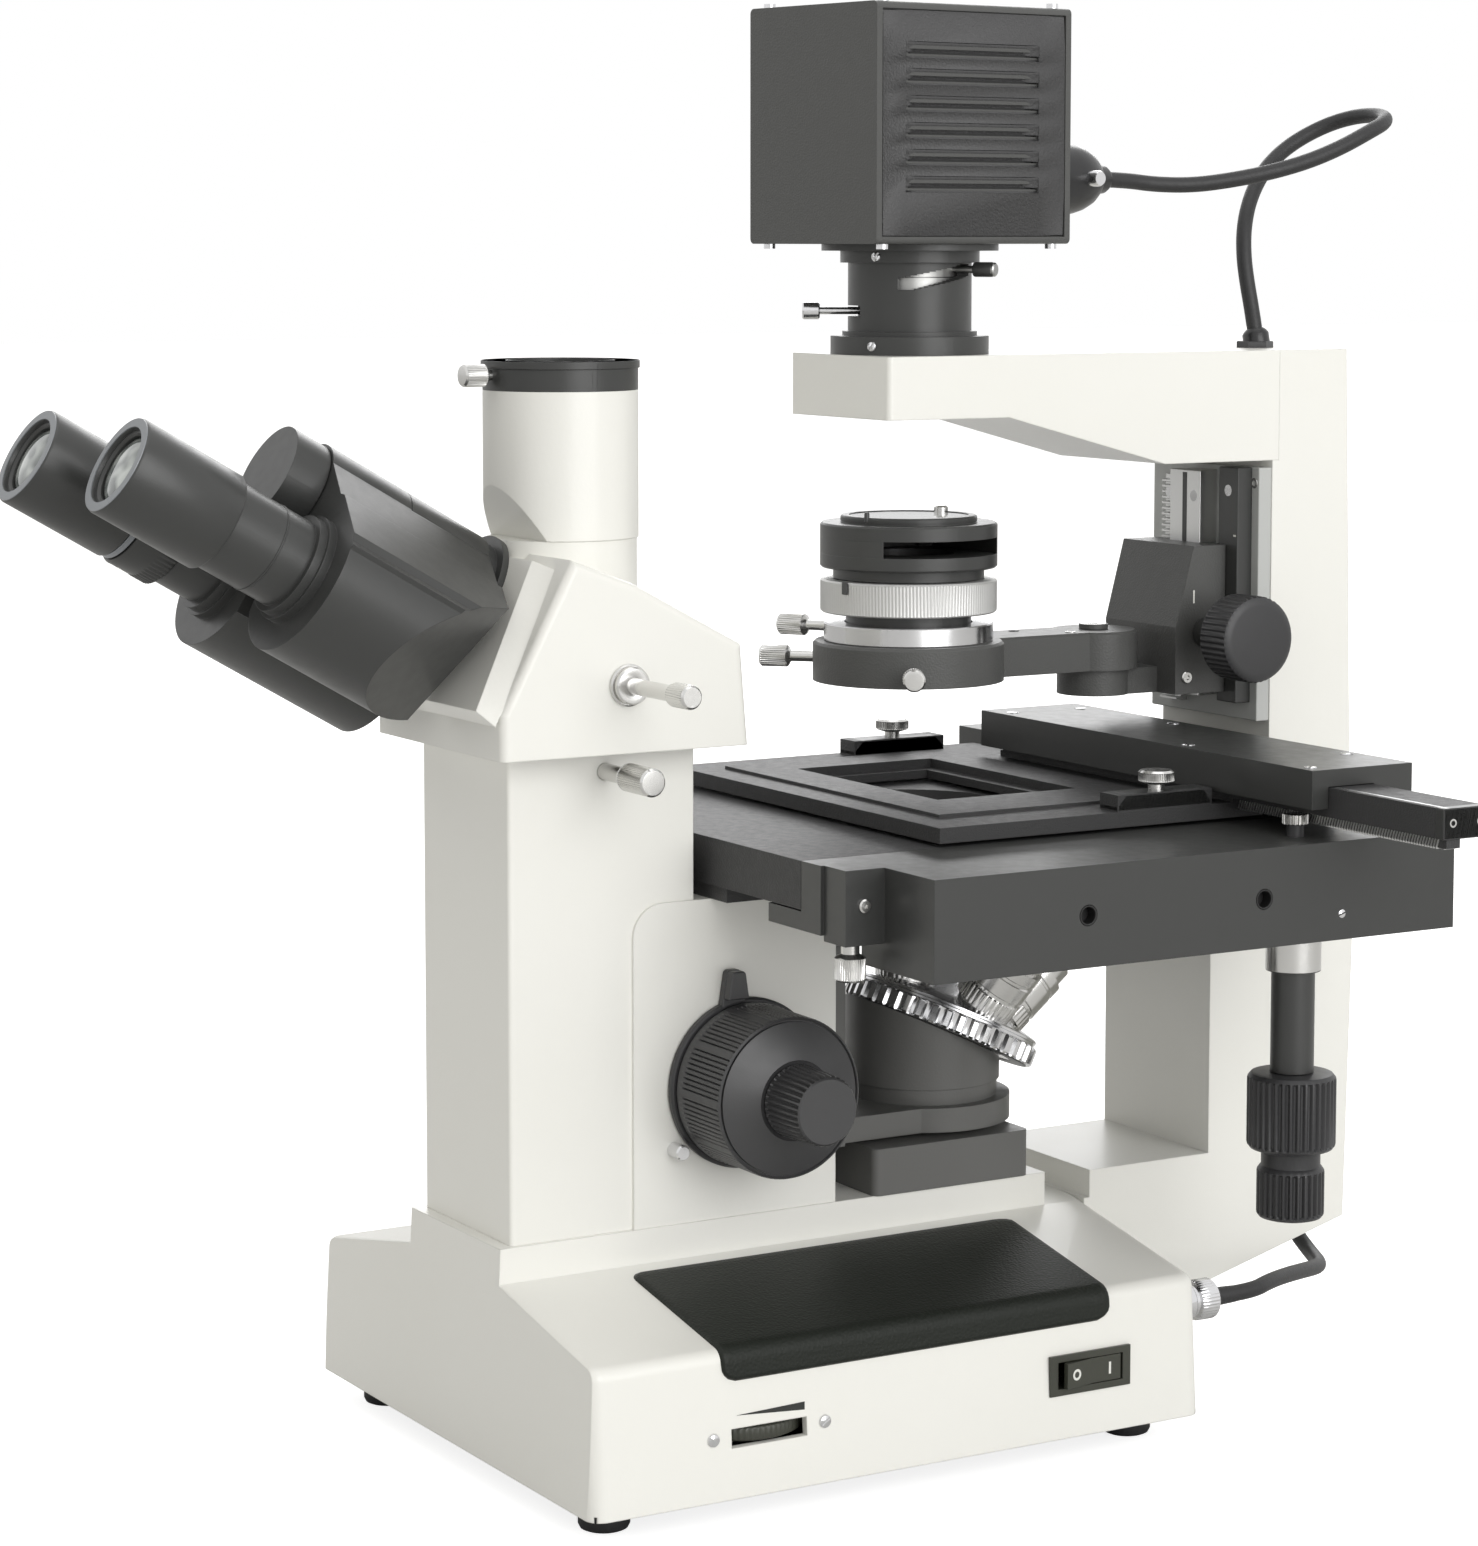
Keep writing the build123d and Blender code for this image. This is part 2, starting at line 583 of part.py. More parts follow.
def power_inlet():
    """Mains inlet in the rear wall."""
    half_x = INLET_WIDTH / 2
    half_z = INLET_HEIGHT / 2
    body = block(INLET_X - half_x, INLET_X + half_x, BASE_LENGTH - 22, BASE_LENGTH,
                 CONNECTOR_Z - half_z, CONNECTOR_Z + half_z)
    body += block(INLET_X - half_x - 3, INLET_X + half_x + 3, BASE_LENGTH, BASE_LENGTH + 2,
                  CONNECTOR_Z - half_z - 3, CONNECTOR_Z + half_z + 3)
    socket = block(INLET_X - 11, INLET_X + 11, BASE_LENGTH - 17, BASE_LENGTH + 5, CONNECTOR_Z - 7, CONNECTOR_Z + 7)
    body -= socket
    for x in (-7, 0, 7):
        body += block(INLET_X + x - 1, INLET_X + x + 1, BASE_LENGTH - 17, BASE_LENGTH - 4,
                      CONNECTOR_Z - 2, CONNECTOR_Z + 2)
    return body


# Pillar, focus drive and head

def pillar_housing():
    """Front pillar: a tall hollow casting with the step that carries the stage."""
    outline = [(PILLAR_FRONT, PLINTH_Z), (PILLAR_REAR, PLINTH_Z), (PILLAR_REAR, PILLAR_STEP_Z),
               (PILLAR_NECK_REAR, PILLAR_STEP_Z), (PILLAR_NECK_REAR, PILLAR_TOP_Z), (PILLAR_FRONT, PILLAR_TOP_Z)]
    pillar = side_prism(outline, -PILLAR_HALF, PILLAR_HALF)
    upright = [e for e in pillar.edges().filter_by(Axis.Z) if e.center().Y < 100 and e.length > 60]
    pillar = fillet(upright, 1.5)
    wall = WALL + 1
    half = PILLAR_HALF - wall
    pillar -= block(-half, half, PILLAR_FRONT + wall, PILLAR_REAR - wall, PLINTH_Z, PILLAR_STEP_Z - wall)
    pillar -= block(-half, half, PILLAR_FRONT + wall, PILLAR_NECK_REAR - wall, PLINTH_Z + 10, PILLAR_TOP_Z)
    bore = COARSE_SHAFT_RADIUS + RUNNING
    pillar -= round_bar((-50, FOCUS_Y, FOCUS_Z), (1, 0, 0), bore, 100)
    pillar -= round_bar((0, PILLAR_REAR - 10, beam_z()), (0, 1, 0), BEAM_TUBE_RADIUS, 20)
    return pillar - round_bar((0, HEAD_SCREW_Y, HEAD_SCREW_Z), (1, 0, 0), HEAD_SCREW_RADIUS + RUNNING, 60)


def beam_z():
    """Height of the level light path from the light box to the pillar."""
    return PLINTH_Z + 8.5


def focus_covers():
    """Cover panels with the bearing bosses of the focus shaft; the left one has a fixed flange."""
    covers = []
    for side in (1, -1):
        x0, x1 = sorted((side * PILLAR_HALF, side * (PILLAR_HALF + COVER_PROUD)))
        panel = block(x0, x1, COVER_FRONT, PILLAR_REAR, PLINTH_Z, PILLAR_STEP_Z)
        corner = [e for e in panel.edges().filter_by(Axis.X) if e.center().Y < COVER_FRONT + 1 and e.center().Z > 150]
        panel = fillet(corner, 12)
        boss_length = TENSION_THICKNESS + GAP
        start = (side * (PILLAR_HALF + COVER_PROUD), FOCUS_Y, FOCUS_Z)
        panel += round_bar(start, (side, 0, 0), BOSS_RADIUS if side > 0 else TENSION_RADIUS, boss_length)
        panel += round_bar((side * PILLAR_HALF, PEG_Y, PEG_Z), (side, 0, 0), 2.6, 8)
        panel -= round_bar((-60, FOCUS_Y, FOCUS_Z), (1, 0, 0), COARSE_SHAFT_RADIUS + RUNNING, 120)
        covers.append(panel)
    return covers


def knob_start():
    """X of the inner face of a coarse knob."""
    return PILLAR_HALF + COVER_PROUD + TENSION_THICKNESS + 2 * GAP


def tension_lever():
    """Ring behind the right coarse knob that sets the focus friction, with its tab."""
    x0 = PILLAR_HALF + COVER_PROUD + GAP / 2
    start = (x0, FOCUS_Y, FOCUS_Z)
    ring = round_bar(start, (1, 0, 0), TENSION_RADIUS, TENSION_THICKNESS)
    tip = FOCUS_Z + TENSION_LEVER_TOP
    root = FOCUS_Z + 20
    tab = side_prism([(FOCUS_Y - 12, root), (FOCUS_Y + 0.5, root), (FOCUS_Y - 1, tip), (FOCUS_Y - 10.5, tip)],
                     x0, x0 + TENSION_THICKNESS)
    ring += tab
    return ring - round_bar((x0 - 1, FOCUS_Y, FOCUS_Z), (1, 0, 0), BOSS_RADIUS + RUNNING, TENSION_THICKNESS + 2)


def coarse_knobs():
    """Both coarse knobs on their hollow shaft with the focus pinion."""
    x0 = knob_start()
    shaft = round_bar((-x0 - 1, FOCUS_Y, FOCUS_Z), (1, 0, 0), COARSE_SHAFT_RADIUS, 2 * x0 + 2)
    shaft += round_bar((-10, FOCUS_Y, FOCUS_Z), (1, 0, 0), 9.5, 20)
    for side in (1, -1):
        rim = round_bar((side * x0, FOCUS_Y, FOCUS_Z), (side, 0, 0), COARSE_RADIUS, COARSE_WIDTH)
        rim = chamfer(rim.edges().filter_by(GeomType.CIRCLE), 1.2)
        face = cone_bar((side * (x0 + COARSE_WIDTH - 0.5), FOCUS_Y, FOCUS_Z), (side, 0, 0),
                        COARSE_RADIUS - 4, COARSE_FACE_RADIUS, COARSE_FACE_HEIGHT)
        shaft += rim + face
    bore = FINE_SHAFT_RADIUS + RUNNING
    return shaft - round_bar((-120, FOCUS_Y, FOCUS_Z), (1, 0, 0), bore, 240)


def fine_knobs():
    """Both fine knobs on the shaft inside the coarse shaft."""
    x0 = knob_start() + COARSE_WIDTH - 0.5 + COARSE_FACE_HEIGHT + GAP
    shaft = round_bar((-x0 - 1, FOCUS_Y, FOCUS_Z), (1, 0, 0), FINE_SHAFT_RADIUS, 2 * x0 + 2)
    for side in (1, -1):
        knob = cone_bar((side * x0, FOCUS_Y, FOCUS_Z), (side, 0, 0), FINE_RADIUS, FINE_RADIUS - 0.8, FINE_END_X - x0)
        shaft += chamfer(knob.edges().filter_by(GeomType.CIRCLE).sort_by(Axis.X)[-1 if side > 0 else 0], 1)
    return shaft


def view_plane(height=0.0, x=0.0, slope=0.0):
    """Plane across the viewing direction; its Z axis points at the eyes."""
    tilt = math.radians(VIEW_TILT)
    normal = Vector(0, -math.cos(tilt), math.sin(tilt))
    upslope = Vector(0, math.sin(tilt), math.cos(tilt))
    origin = Vector(0, HUB_Y, HUB_Z) + normal * height + Vector(x, 0, 0) + upslope * slope
    return Plane(origin=tuple(origin), x_dir=(1, 0, 0), z_dir=tuple(normal))


def view_disc(height0, height1, radius, x=0.0, slope=0.0):
    """A disc across the viewing direction."""
    align = (Align.CENTER, Align.CENTER, Align.MIN)
    return view_plane(height0, x, slope) * Cylinder(radius, height1 - height0, align=align)


def head_housing():
    """Viewing head: wedge-shaped casting with the slanted boss and the neck of the camera tube."""
    head = side_prism(HEAD_SIDE, -HEAD_HALF, HEAD_HALF)
    outer_edges = [e for e in head.edges() if abs(abs(e.center().X) - HEAD_HALF) < 0.1 and e.center().Z > 262]
    head = fillet(outer_edges, 3)
    neck = disc(0, CAMERA_Y, HEAD_SIDE[1][1], CAMERA_SEAM_Z, NECK_RADIUS)
    foot = [(-HEAD_HALF + 1, BOSS_LOW), (HEAD_HALF - 1, BOSS_LOW),
            (HEAD_HALF - 8, BOSS_HIGH), (-HEAD_HALF + 8, BOSS_HIGH)]
    face = [(-BOSS_LOW_HALF, BOSS_LOW + 2), (BOSS_LOW_HALF, BOSS_LOW + 2),
            (BOSS_HIGH_HALF, BOSS_HIGH), (-BOSS_HIGH_HALF, BOSS_HIGH)]
    boss = loft([view_plane(FLANGE_BACK - 1) * make_face(Polyline(*foot, close=True)),
                 view_plane(FLANGE_FACE) * make_face(Polyline(*face, close=True))])
    head = head + neck + boss
    head -= view_disc(FLANGE_FACE, FLANGE_FACE + 20, FLANGE_RADIUS + 1)
    head -= disc(0, CAMERA_Y, CAMERA_SEAM_Z, CAMERA_SEAM_Z + 20, CAMERA_RADIUS + 8)
    cavity = WALL + 3
    head -= block(-HEAD_HALF + cavity, HEAD_HALF - cavity, 12, 86, PILLAR_TOP_Z, PILLAR_TOP_Z + 38)
    head -= disc(0, CAMERA_Y, PILLAR_TOP_Z, CAMERA_SEAM_Z + 1, CAMERA_BORE - 5)
    head -= view_disc(FLANGE_BACK - 60, FLANGE_FACE + 1, BEAM_RADIUS)
    head -= round_bar((0, ROD_Y, ROD_Z), (1, 0, 0), 5.5, HEAD_HALF + 5)
    return [head, rod_bush()]


def rod_bush():
    """Bright bush in the side of the head that guides the light-path rod."""
    bush = round_bar((HEAD_HALF - WALL - 3, ROD_Y, ROD_Z), (1, 0, 0), 5.5, WALL + 4.2)
    return bush - round_bar((0, ROD_Y, ROD_Z), (1, 0, 0), ROD_RADIUS + RUNNING, 80)


def light_path_rod():
    """Push-pull rod with the beam splitter on its inner end."""
    rod = round_bar((20, ROD_Y, ROD_Z), (1, 0, 0), ROD_RADIUS, ROD_END_X - 20)
    knob = round_bar((ROD_END_X - 11.5, ROD_Y, ROD_Z), (1, 0, 0), ROD_KNOB_RADIUS, 11.5)
    rod += chamfer(knob.edges().filter_by(GeomType.CIRCLE), 0.6)
    return rod + block(3, 23, ROD_Y - 10, ROD_Y + 10, ROD_Z - 10, ROD_Z + 10)


def camera_tube():
    """White vertical tube with a flat relief for the binocular and two slotted screws."""
    tube = disc(0, CAMERA_Y, CAMERA_SEAM_Z, CAMERA_TOP_Z, CAMERA_RADIUS)
    relief = [(-60, CAMERA_SEAM_Z - 1), (CAMERA_Y - 16.9 + 0.563, CAMERA_SEAM_Z - 1),
              (CAMERA_Y - CAMERA_RADIUS, CAMERA_SEAM_Z + 19), (-60, CAMERA_SEAM_Z + 19)]
    tube -= side_prism(relief, -40, 40)
    tube -= disc(0, CAMERA_Y, CAMERA_SEAM_Z - 1, CAMERA_TOP_Z + 1, CAMERA_BORE - 5)
    return tube


def camera_port():
    """Black ring on the camera tube with the bore for an adapter."""
    ring = disc(0, CAMERA_Y, CAMERA_TOP_Z, PORT_TOP_Z, PORT_RADIUS - 0.6)
    ring += disc(0, CAMERA_Y, PORT_TOP_Z - 2.6, PORT_TOP_Z, PORT_RADIUS)
    ring -= disc(0, CAMERA_Y, PORT_TOP_Z - PORT_DEPTH, PORT_TOP_Z + 1, PORT_BORE)
    ring += disc(0, CAMERA_Y, CAMERA_TOP_Z - 3, CAMERA_TOP_Z, CAMERA_BORE - 5.1)
    ring -= disc(0, CAMERA_Y, CAMERA_TOP_Z - 5, PORT_TOP_Z + 1, CAMERA_BORE - 8)
    ring -= round_bar((0, CAMERA_Y, PORT_TOP_Z - 5), (0, -1, 0), 1.8 + RUNNING, 40)
    return ring


def camera_clamp_screw():
    """Thumb screw that holds an adapter in the camera port."""
    start = (0, CAMERA_Y - PORT_BORE - 0.4, PORT_TOP_Z - 5)
    return thumb_screw(start, (0, -1, 0), 1.8, 10.5, 4.0, 9)


def head_clamp_screw():
    """Thumb screw below the head that holds it on the pillar."""
    start = (PILLAR_HALF - WALL - 1, HEAD_SCREW_Y, HEAD_SCREW_Z)
    return thumb_screw(start, (1, 0, 0), HEAD_SCREW_RADIUS, 21, 5.0, 18)


def binocular_mount():
    """Flange, neck, hub pin and front disc that carry both prism housings."""
    mount = view_disc(FLANGE_FACE, FLANGE_FACE + 2.6, FLANGE_RADIUS)
    mount += view_disc(FLANGE_FACE, HOUSING_BACK - GAP, HUB_NECK_RADIUS)
    mount += view_disc(FLANGE_FACE, HUB_DISC_FRONT - 1, HUB_PIN_RADIUS)
    mount += view_disc(HOUSING_FRONT + GAP, HUB_DISC_FRONT, HUB_LUG_RADIUS - 1)
    return mount - view_disc(FLANGE_FACE - 1, HUB_DISC_FRONT - 8, 5)


def housing_outline(side, lug):
    """Outline of a prism housing across the viewing direction, with or without its hub lug."""
    tube = Pos(side * ARM_X, -ARM_DROP) * Circle(HOUSING_RADIUS)
    facet = Polyline((side * 2, 13), (side * 12, 13), (side * 59, -20), (side * 44, -52), (side * 2, -46), close=True)
    outline = tube + make_face(facet)
    above = Polyline((side * 2, 14), (side * 13, 14), (side * 90, -39.5), (side * 90, 60), (0, 60), close=True)
    outline -= make_face(above)
    half_turn = math.radians(6)
    reach = 90
    edge = (side * reach * math.sin(half_turn), -reach * math.cos(half_turn))
    outline -= make_face(Polyline((0, 0), edge, (-side * 90, -90), (-side * 90, 90), (0, 90), close=True))
    if lug:
        return outline + Circle(HUB_LUG_RADIUS)
    return outline - Circle(HUB_LUG_RADIUS + GAP)


def ocular(side, lug0, lug1, bare0, bare1, tube_front):
    """Prism housing, collar and tube of one eye; its hub lug spans lug0 to lug1."""
    eye = Pos(0, 0, lug0) * extrude(housing_outline(side, True), lug1 - lug0)
    eye += Pos(0, 0, bare0) * extrude(housing_outline(side, False), bare1 - bare0)
    outward = (side * 0.78, -0.62, 0)
    cut_plane = Plane(origin=(side * ARM_X, -ARM_DROP, 0), x_dir=outward, z_dir=(-0.62, -side * 0.78, 0))
    low = HOUSING_BACK - 10
    slope = [(-10, 142), (40, 204.5), (80, 204.5), (80, low), (-10, low)]
    if side < 0:
        slope = [(x, -z) for x, z in slope]
    eye -= extrude(cut_plane * make_face(Polyline(*slope, close=True)), 90, both=True)
    eye += eye_disc(side, HOUSING_FRONT, HOUSING_FRONT + 3, COLLAR_RADIUS)
    eye += eye_disc(side, HOUSING_FRONT + 3, COLLAR_FRONT, COLLAR_RADIUS - 1.4)
    eye += eye_disc(side, HOUSING_FRONT, tube_front, OCULAR_RADIUS)
    eye -= eye_disc(side, HOUSING_FRONT - 18, tube_front + 1, EYEPIECE_SLEEVE + RUNNING)
    eye -= Pos(0, 0, HOUSING_BACK - 5) * Cylinder(HUB_PIN_RADIUS + RUNNING, 200)
    eye -= Pos(0, 0, HUB_DISC_FRONT + 20) * Cylinder(HUB_LUG_RADIUS - 0.4, 2 * (HUB_DISC_FRONT + 20 - HOUSING_FRONT))
    return to_view(eye)


def eye_disc(side, height0, height1, radius):
    """A disc on the axis of one eyepiece tube, in the coordinates of the binocular."""
    height = height1 - height0
    return Pos(side * ARM_X, -ARM_DROP, (height0 + height1) / 2) * Cylinder(radius, height)


def to_view(solid):
    """Place a piece drawn in the binocular's coordinates."""
    return view_plane().location * Rot(0, 0, BINOCULAR_ROLL) * solid


def eyepiece(side, rim):
    """Eyepiece body with its sleeve, and the eye lens in the recess."""
    back = rim - EYEPIECE_LENGTH
    body = eye_disc(side, back, rim, EYEPIECE_RADIUS)
    body = chamfer(body.edges().filter_by(GeomType.CIRCLE), 0.8)
    body += eye_disc(side, back - 25, back, EYEPIECE_SLEEVE)
    body -= eye_disc(side, rim - 6, rim + 1, EYEPIECE_RADIUS - 3.9)
    body -= eye_disc(side, back - 26, rim - 5, EYEPIECE_SLEEVE - 1.6)
    lens = eye_disc(side, rim - 9, rim - 5.2, EYEPIECE_SLEEVE - 1.6)
    return [to_view(body), to_view(lens)]


def diopter_ring():
    """Scale ring on the left eyepiece tube."""
    front = LEFT_RIM - EYEPIECE_LENGTH - 3
    ring = eye_disc(-1, front - DIOPTER_LENGTH, front, DIOPTER_RADIUS)
    ring = chamfer(ring.edges().filter_by(GeomType.CIRCLE), 0.6)
    return to_view(ring - eye_disc(-1, front - DIOPTER_LENGTH - 1, front + 1, OCULAR_RADIUS + RUNNING))


# Objective carrier and light path

def light_box():
    """Hollow box under the objectives, with the tube that leads the image forward."""
    box = block(-LIGHT_BOX_HALF, LIGHT_BOX_HALF, LIGHT_BOX_FRONT, LIGHT_BOX_REAR, PLINTH_Z, LIGHT_BOX_TOP)
    box = fillet(box.edges().filter_by(Axis.Z), 3)
    box -= block(-LIGHT_BOX_HALF + WALL, LIGHT_BOX_HALF - WALL, LIGHT_BOX_FRONT + WALL, LIGHT_BOX_REAR - WALL,
                 PLINTH_Z - 1, LIGHT_BOX_TOP - WALL)
    tube_length = LIGHT_BOX_FRONT - PILLAR_REAR + 2 * WALL
    box += round_bar((0, PILLAR_REAR - WALL, beam_z()), (0, 1, 0), BEAM_TUBE_RADIUS, tube_length)
    box -= round_bar((0, PILLAR_REAR - 10, beam_z()), (0, 1, 0), BEAM_TUBE_RADIUS - 1.5, 60)
    return box - disc(0, AXIS_Y, PLINTH_Z, LIGHT_BOX_TOP + 1, BEAM_RADIUS)


def relay_optics():
    """Inclined mirror in the light box and the prism at the foot of the pillar."""
    mirror = Pos(0, AXIS_Y, PLINTH_Z + 6.8) * Rot(45, 0, 0) * Box(16, 16, 2)
    holder = block(-9, 9, AXIS_Y - 8, AXIS_Y + 8, PLINTH_Z, PLINTH_Z + 2)
    prism = side_prism([(CAMERA_Y - 8, PLINTH_Z), (CAMERA_Y + 8, PLINTH_Z), (CAMERA_Y + 8, PLINTH_Z + 16)], -8, 8)
    return [mirror + holder, prism]


def turret_plane(height=0.0):
    """Plane across the tilted turret axis, at a height above the point where the objectives meet."""
    tilt = math.radians(TURRET_TILT)
    normal = (0, math.sin(tilt), math.cos(tilt))
    origin = (0, AXIS_Y + normal[1] * height, TURRET_APEX_Z + normal[2] * height)
    return Plane(origin=origin, x_dir=(1, 0, 0), z_dir=normal)


def turret_disc(height0, height1, radius):
    """A disc on the turret axis."""
    align = (Align.CENTER, Align.CENTER, Align.MIN)
    return turret_plane(height0) * Cylinder(radius, height1 - height0, align=align)


def focus_carrier():
    """Focus slide with the yoke and the seat under the turret."""
    slide_front = PILLAR_REAR + GAP
    slide_rear = PILLAR_REAR + SLIDE_THICKNESS
    plate = block(-28, 28, slide_front, slide_rear, LIGHT_BOX_TOP + 0.6, SLIDE_TOP)
    yoke = block(-28, 28, slide_rear - 1, SEAT_Y, YOKE_BOTTOM, YOKE_TOP)
    yoke += disc(0, SEAT_Y, YOKE_BOTTOM, YOKE_TOP, YOKE_RADIUS)
    seat = disc(0, SEAT_Y, YOKE_TOP, SEAT_RING_TOP, SEAT_RING_RADIUS)
    upper = disc(0, SEAT_Y, SEAT_RING_TOP, TURRET_APEX_Z + 70, SEAT_RADIUS)
    seat += upper - turret_disc(TURRET_BOTTOM - GAP, TURRET_BOTTOM + 120, 120)
    carrier = plate + yoke + seat
    carrier -= disc(0, AXIS_Y, YOKE_BOTTOM - 1, TURRET_APEX_Z + 60, BEAM_RADIUS - 2)
    pivot = turret_disc(TURRET_BOTTOM - 8, TURRET_TOP + 4, TURRET_PIVOT_RADIUS)
    return carrier + pivot


def objective_axis(index):
    """Plane at the apex whose Z axis is the axis of one objective."""
    tilt = math.radians(TURRET_TILT)
    turn = 2 * math.pi * index / len(OBJECTIVE_LENGTHS)
    along = Vector(*turret_plane().z_dir)
    outward = Vector(*turret_plane().y_dir) * -math.cos(turn) + Vector(1, 0, 0) * math.sin(turn)
    direction = along * math.cos(tilt) + outward * math.sin(tilt)
    return Plane(origin=(0, AXIS_Y, TURRET_APEX_Z), z_dir=tuple(direction))


def objective_disc(index, height0, height1, radius):
    """A disc on one objective's axis."""
    align = (Align.CENTER, Align.CENTER, Align.MIN)
    return objective_axis(index) * Pos(0, 0, height0) * Cylinder(radius, height1 - height0, align=align)


def turret_ring():
    """Knurled ring and cone of the objective turret, with a threaded hole for each objective."""
    ring = turret_disc(TURRET_BOTTOM, TURRET_TOP, TURRET_RADIUS)
    ring = chamfer(ring.edges().filter_by(GeomType.CIRCLE), 0.8)
    cone_tip = OBJECTIVE_SEAT / math.cos(math.radians(TURRET_TILT))
    slope = math.tan(math.radians(TURRET_TILT))
    foot = (cone_tip - TURRET_TOP) / slope
    top = (cone_tip - TURRET_CONE_TOP) / slope
    align = (Align.CENTER, Align.CENTER, Align.MIN)
    ring += turret_plane(TURRET_TOP) * Cone(foot, top, TURRET_CONE_TOP - TURRET_TOP, align=align)
    ring -= turret_disc(TURRET_BOTTOM - 1, TURRET_TOP + 4 + GAP, TURRET_PIVOT_RADIUS + RUNNING)
    for index in range(len(OBJECTIVE_LENGTHS)):
        ring -= objective_disc(index, TURRET_BOTTOM - 12, OBJECTIVE_SEAT + 2, 10.1)
    return ring


def objectives():
    """Objectives screwed into the turret, each a stepped barrel with a bore."""
    barrels = []
    for index, length in enumerate(OBJECTIVE_LENGTHS):
        tip = OBJECTIVE_SEAT + length
        barrel = objective_disc(index, OBJECTIVE_SEAT - 5, OBJECTIVE_SEAT, 10.0)
        barrel += objective_disc(index, OBJECTIVE_SEAT, tip - 12, OBJECTIVE_RADIUS)
        barrel += objective_disc(index, tip - 12, tip - 5, OBJECTIVE_RADIUS - 1.5)
        align = (Align.CENTER, Align.CENTER, Align.MIN)
        barrel += objective_axis(index) * Pos(0, 0, tip - 5) * Cone(OBJECTIVE_RADIUS - 1.5, 5, 5, align=align)
        barrels.append(barrel - objective_disc(index, OBJECTIVE_SEAT - 6, tip - 4, 4))
    return barrels


# Stage

def stage_plate():
    """Fixed stage plate, its spacers on the pillar and the column, and the rack of the long travel."""
    plate = block(-STAGE_HALF, STAGE_HALF, STAGE_FRONT, STAGE_REAR, STAGE_BOTTOM, STAGE_TOP)
    plate -= disc(0, AXIS_Y, STAGE_BOTTOM - 1, STAGE_TOP + 1, STAGE_HOLE)
    front_spacer = block(-46.5, 46.5, STAGE_FRONT + 1.2, PILLAR_REAR - 3, PILLAR_STEP_Z, STAGE_BOTTOM)
    rear_spacer = block(-30, 30, LOWER_COLUMN_FRONT + 2, STAGE_REAR, LOWER_COLUMN_TOP, STAGE_BOTTOM)
    rack_x = DRIVE_X - Y_PINION_RADIUS - GAP
    low = GUIDE_BOTTOM - GAP
    rack = block(rack_x - Y_RACK_WIDTH, rack_x, 205, 325, low - 5.7, low)
    rack += block(60, rack_x, 304.5, 325, low - 5.7, low)
    rack += block(60, GUIDE_INNER - 1.5, 304.5, 325, low - 1, STAGE_BOTTOM)
    return [plate, front_spacer, rear_spacer, rack]


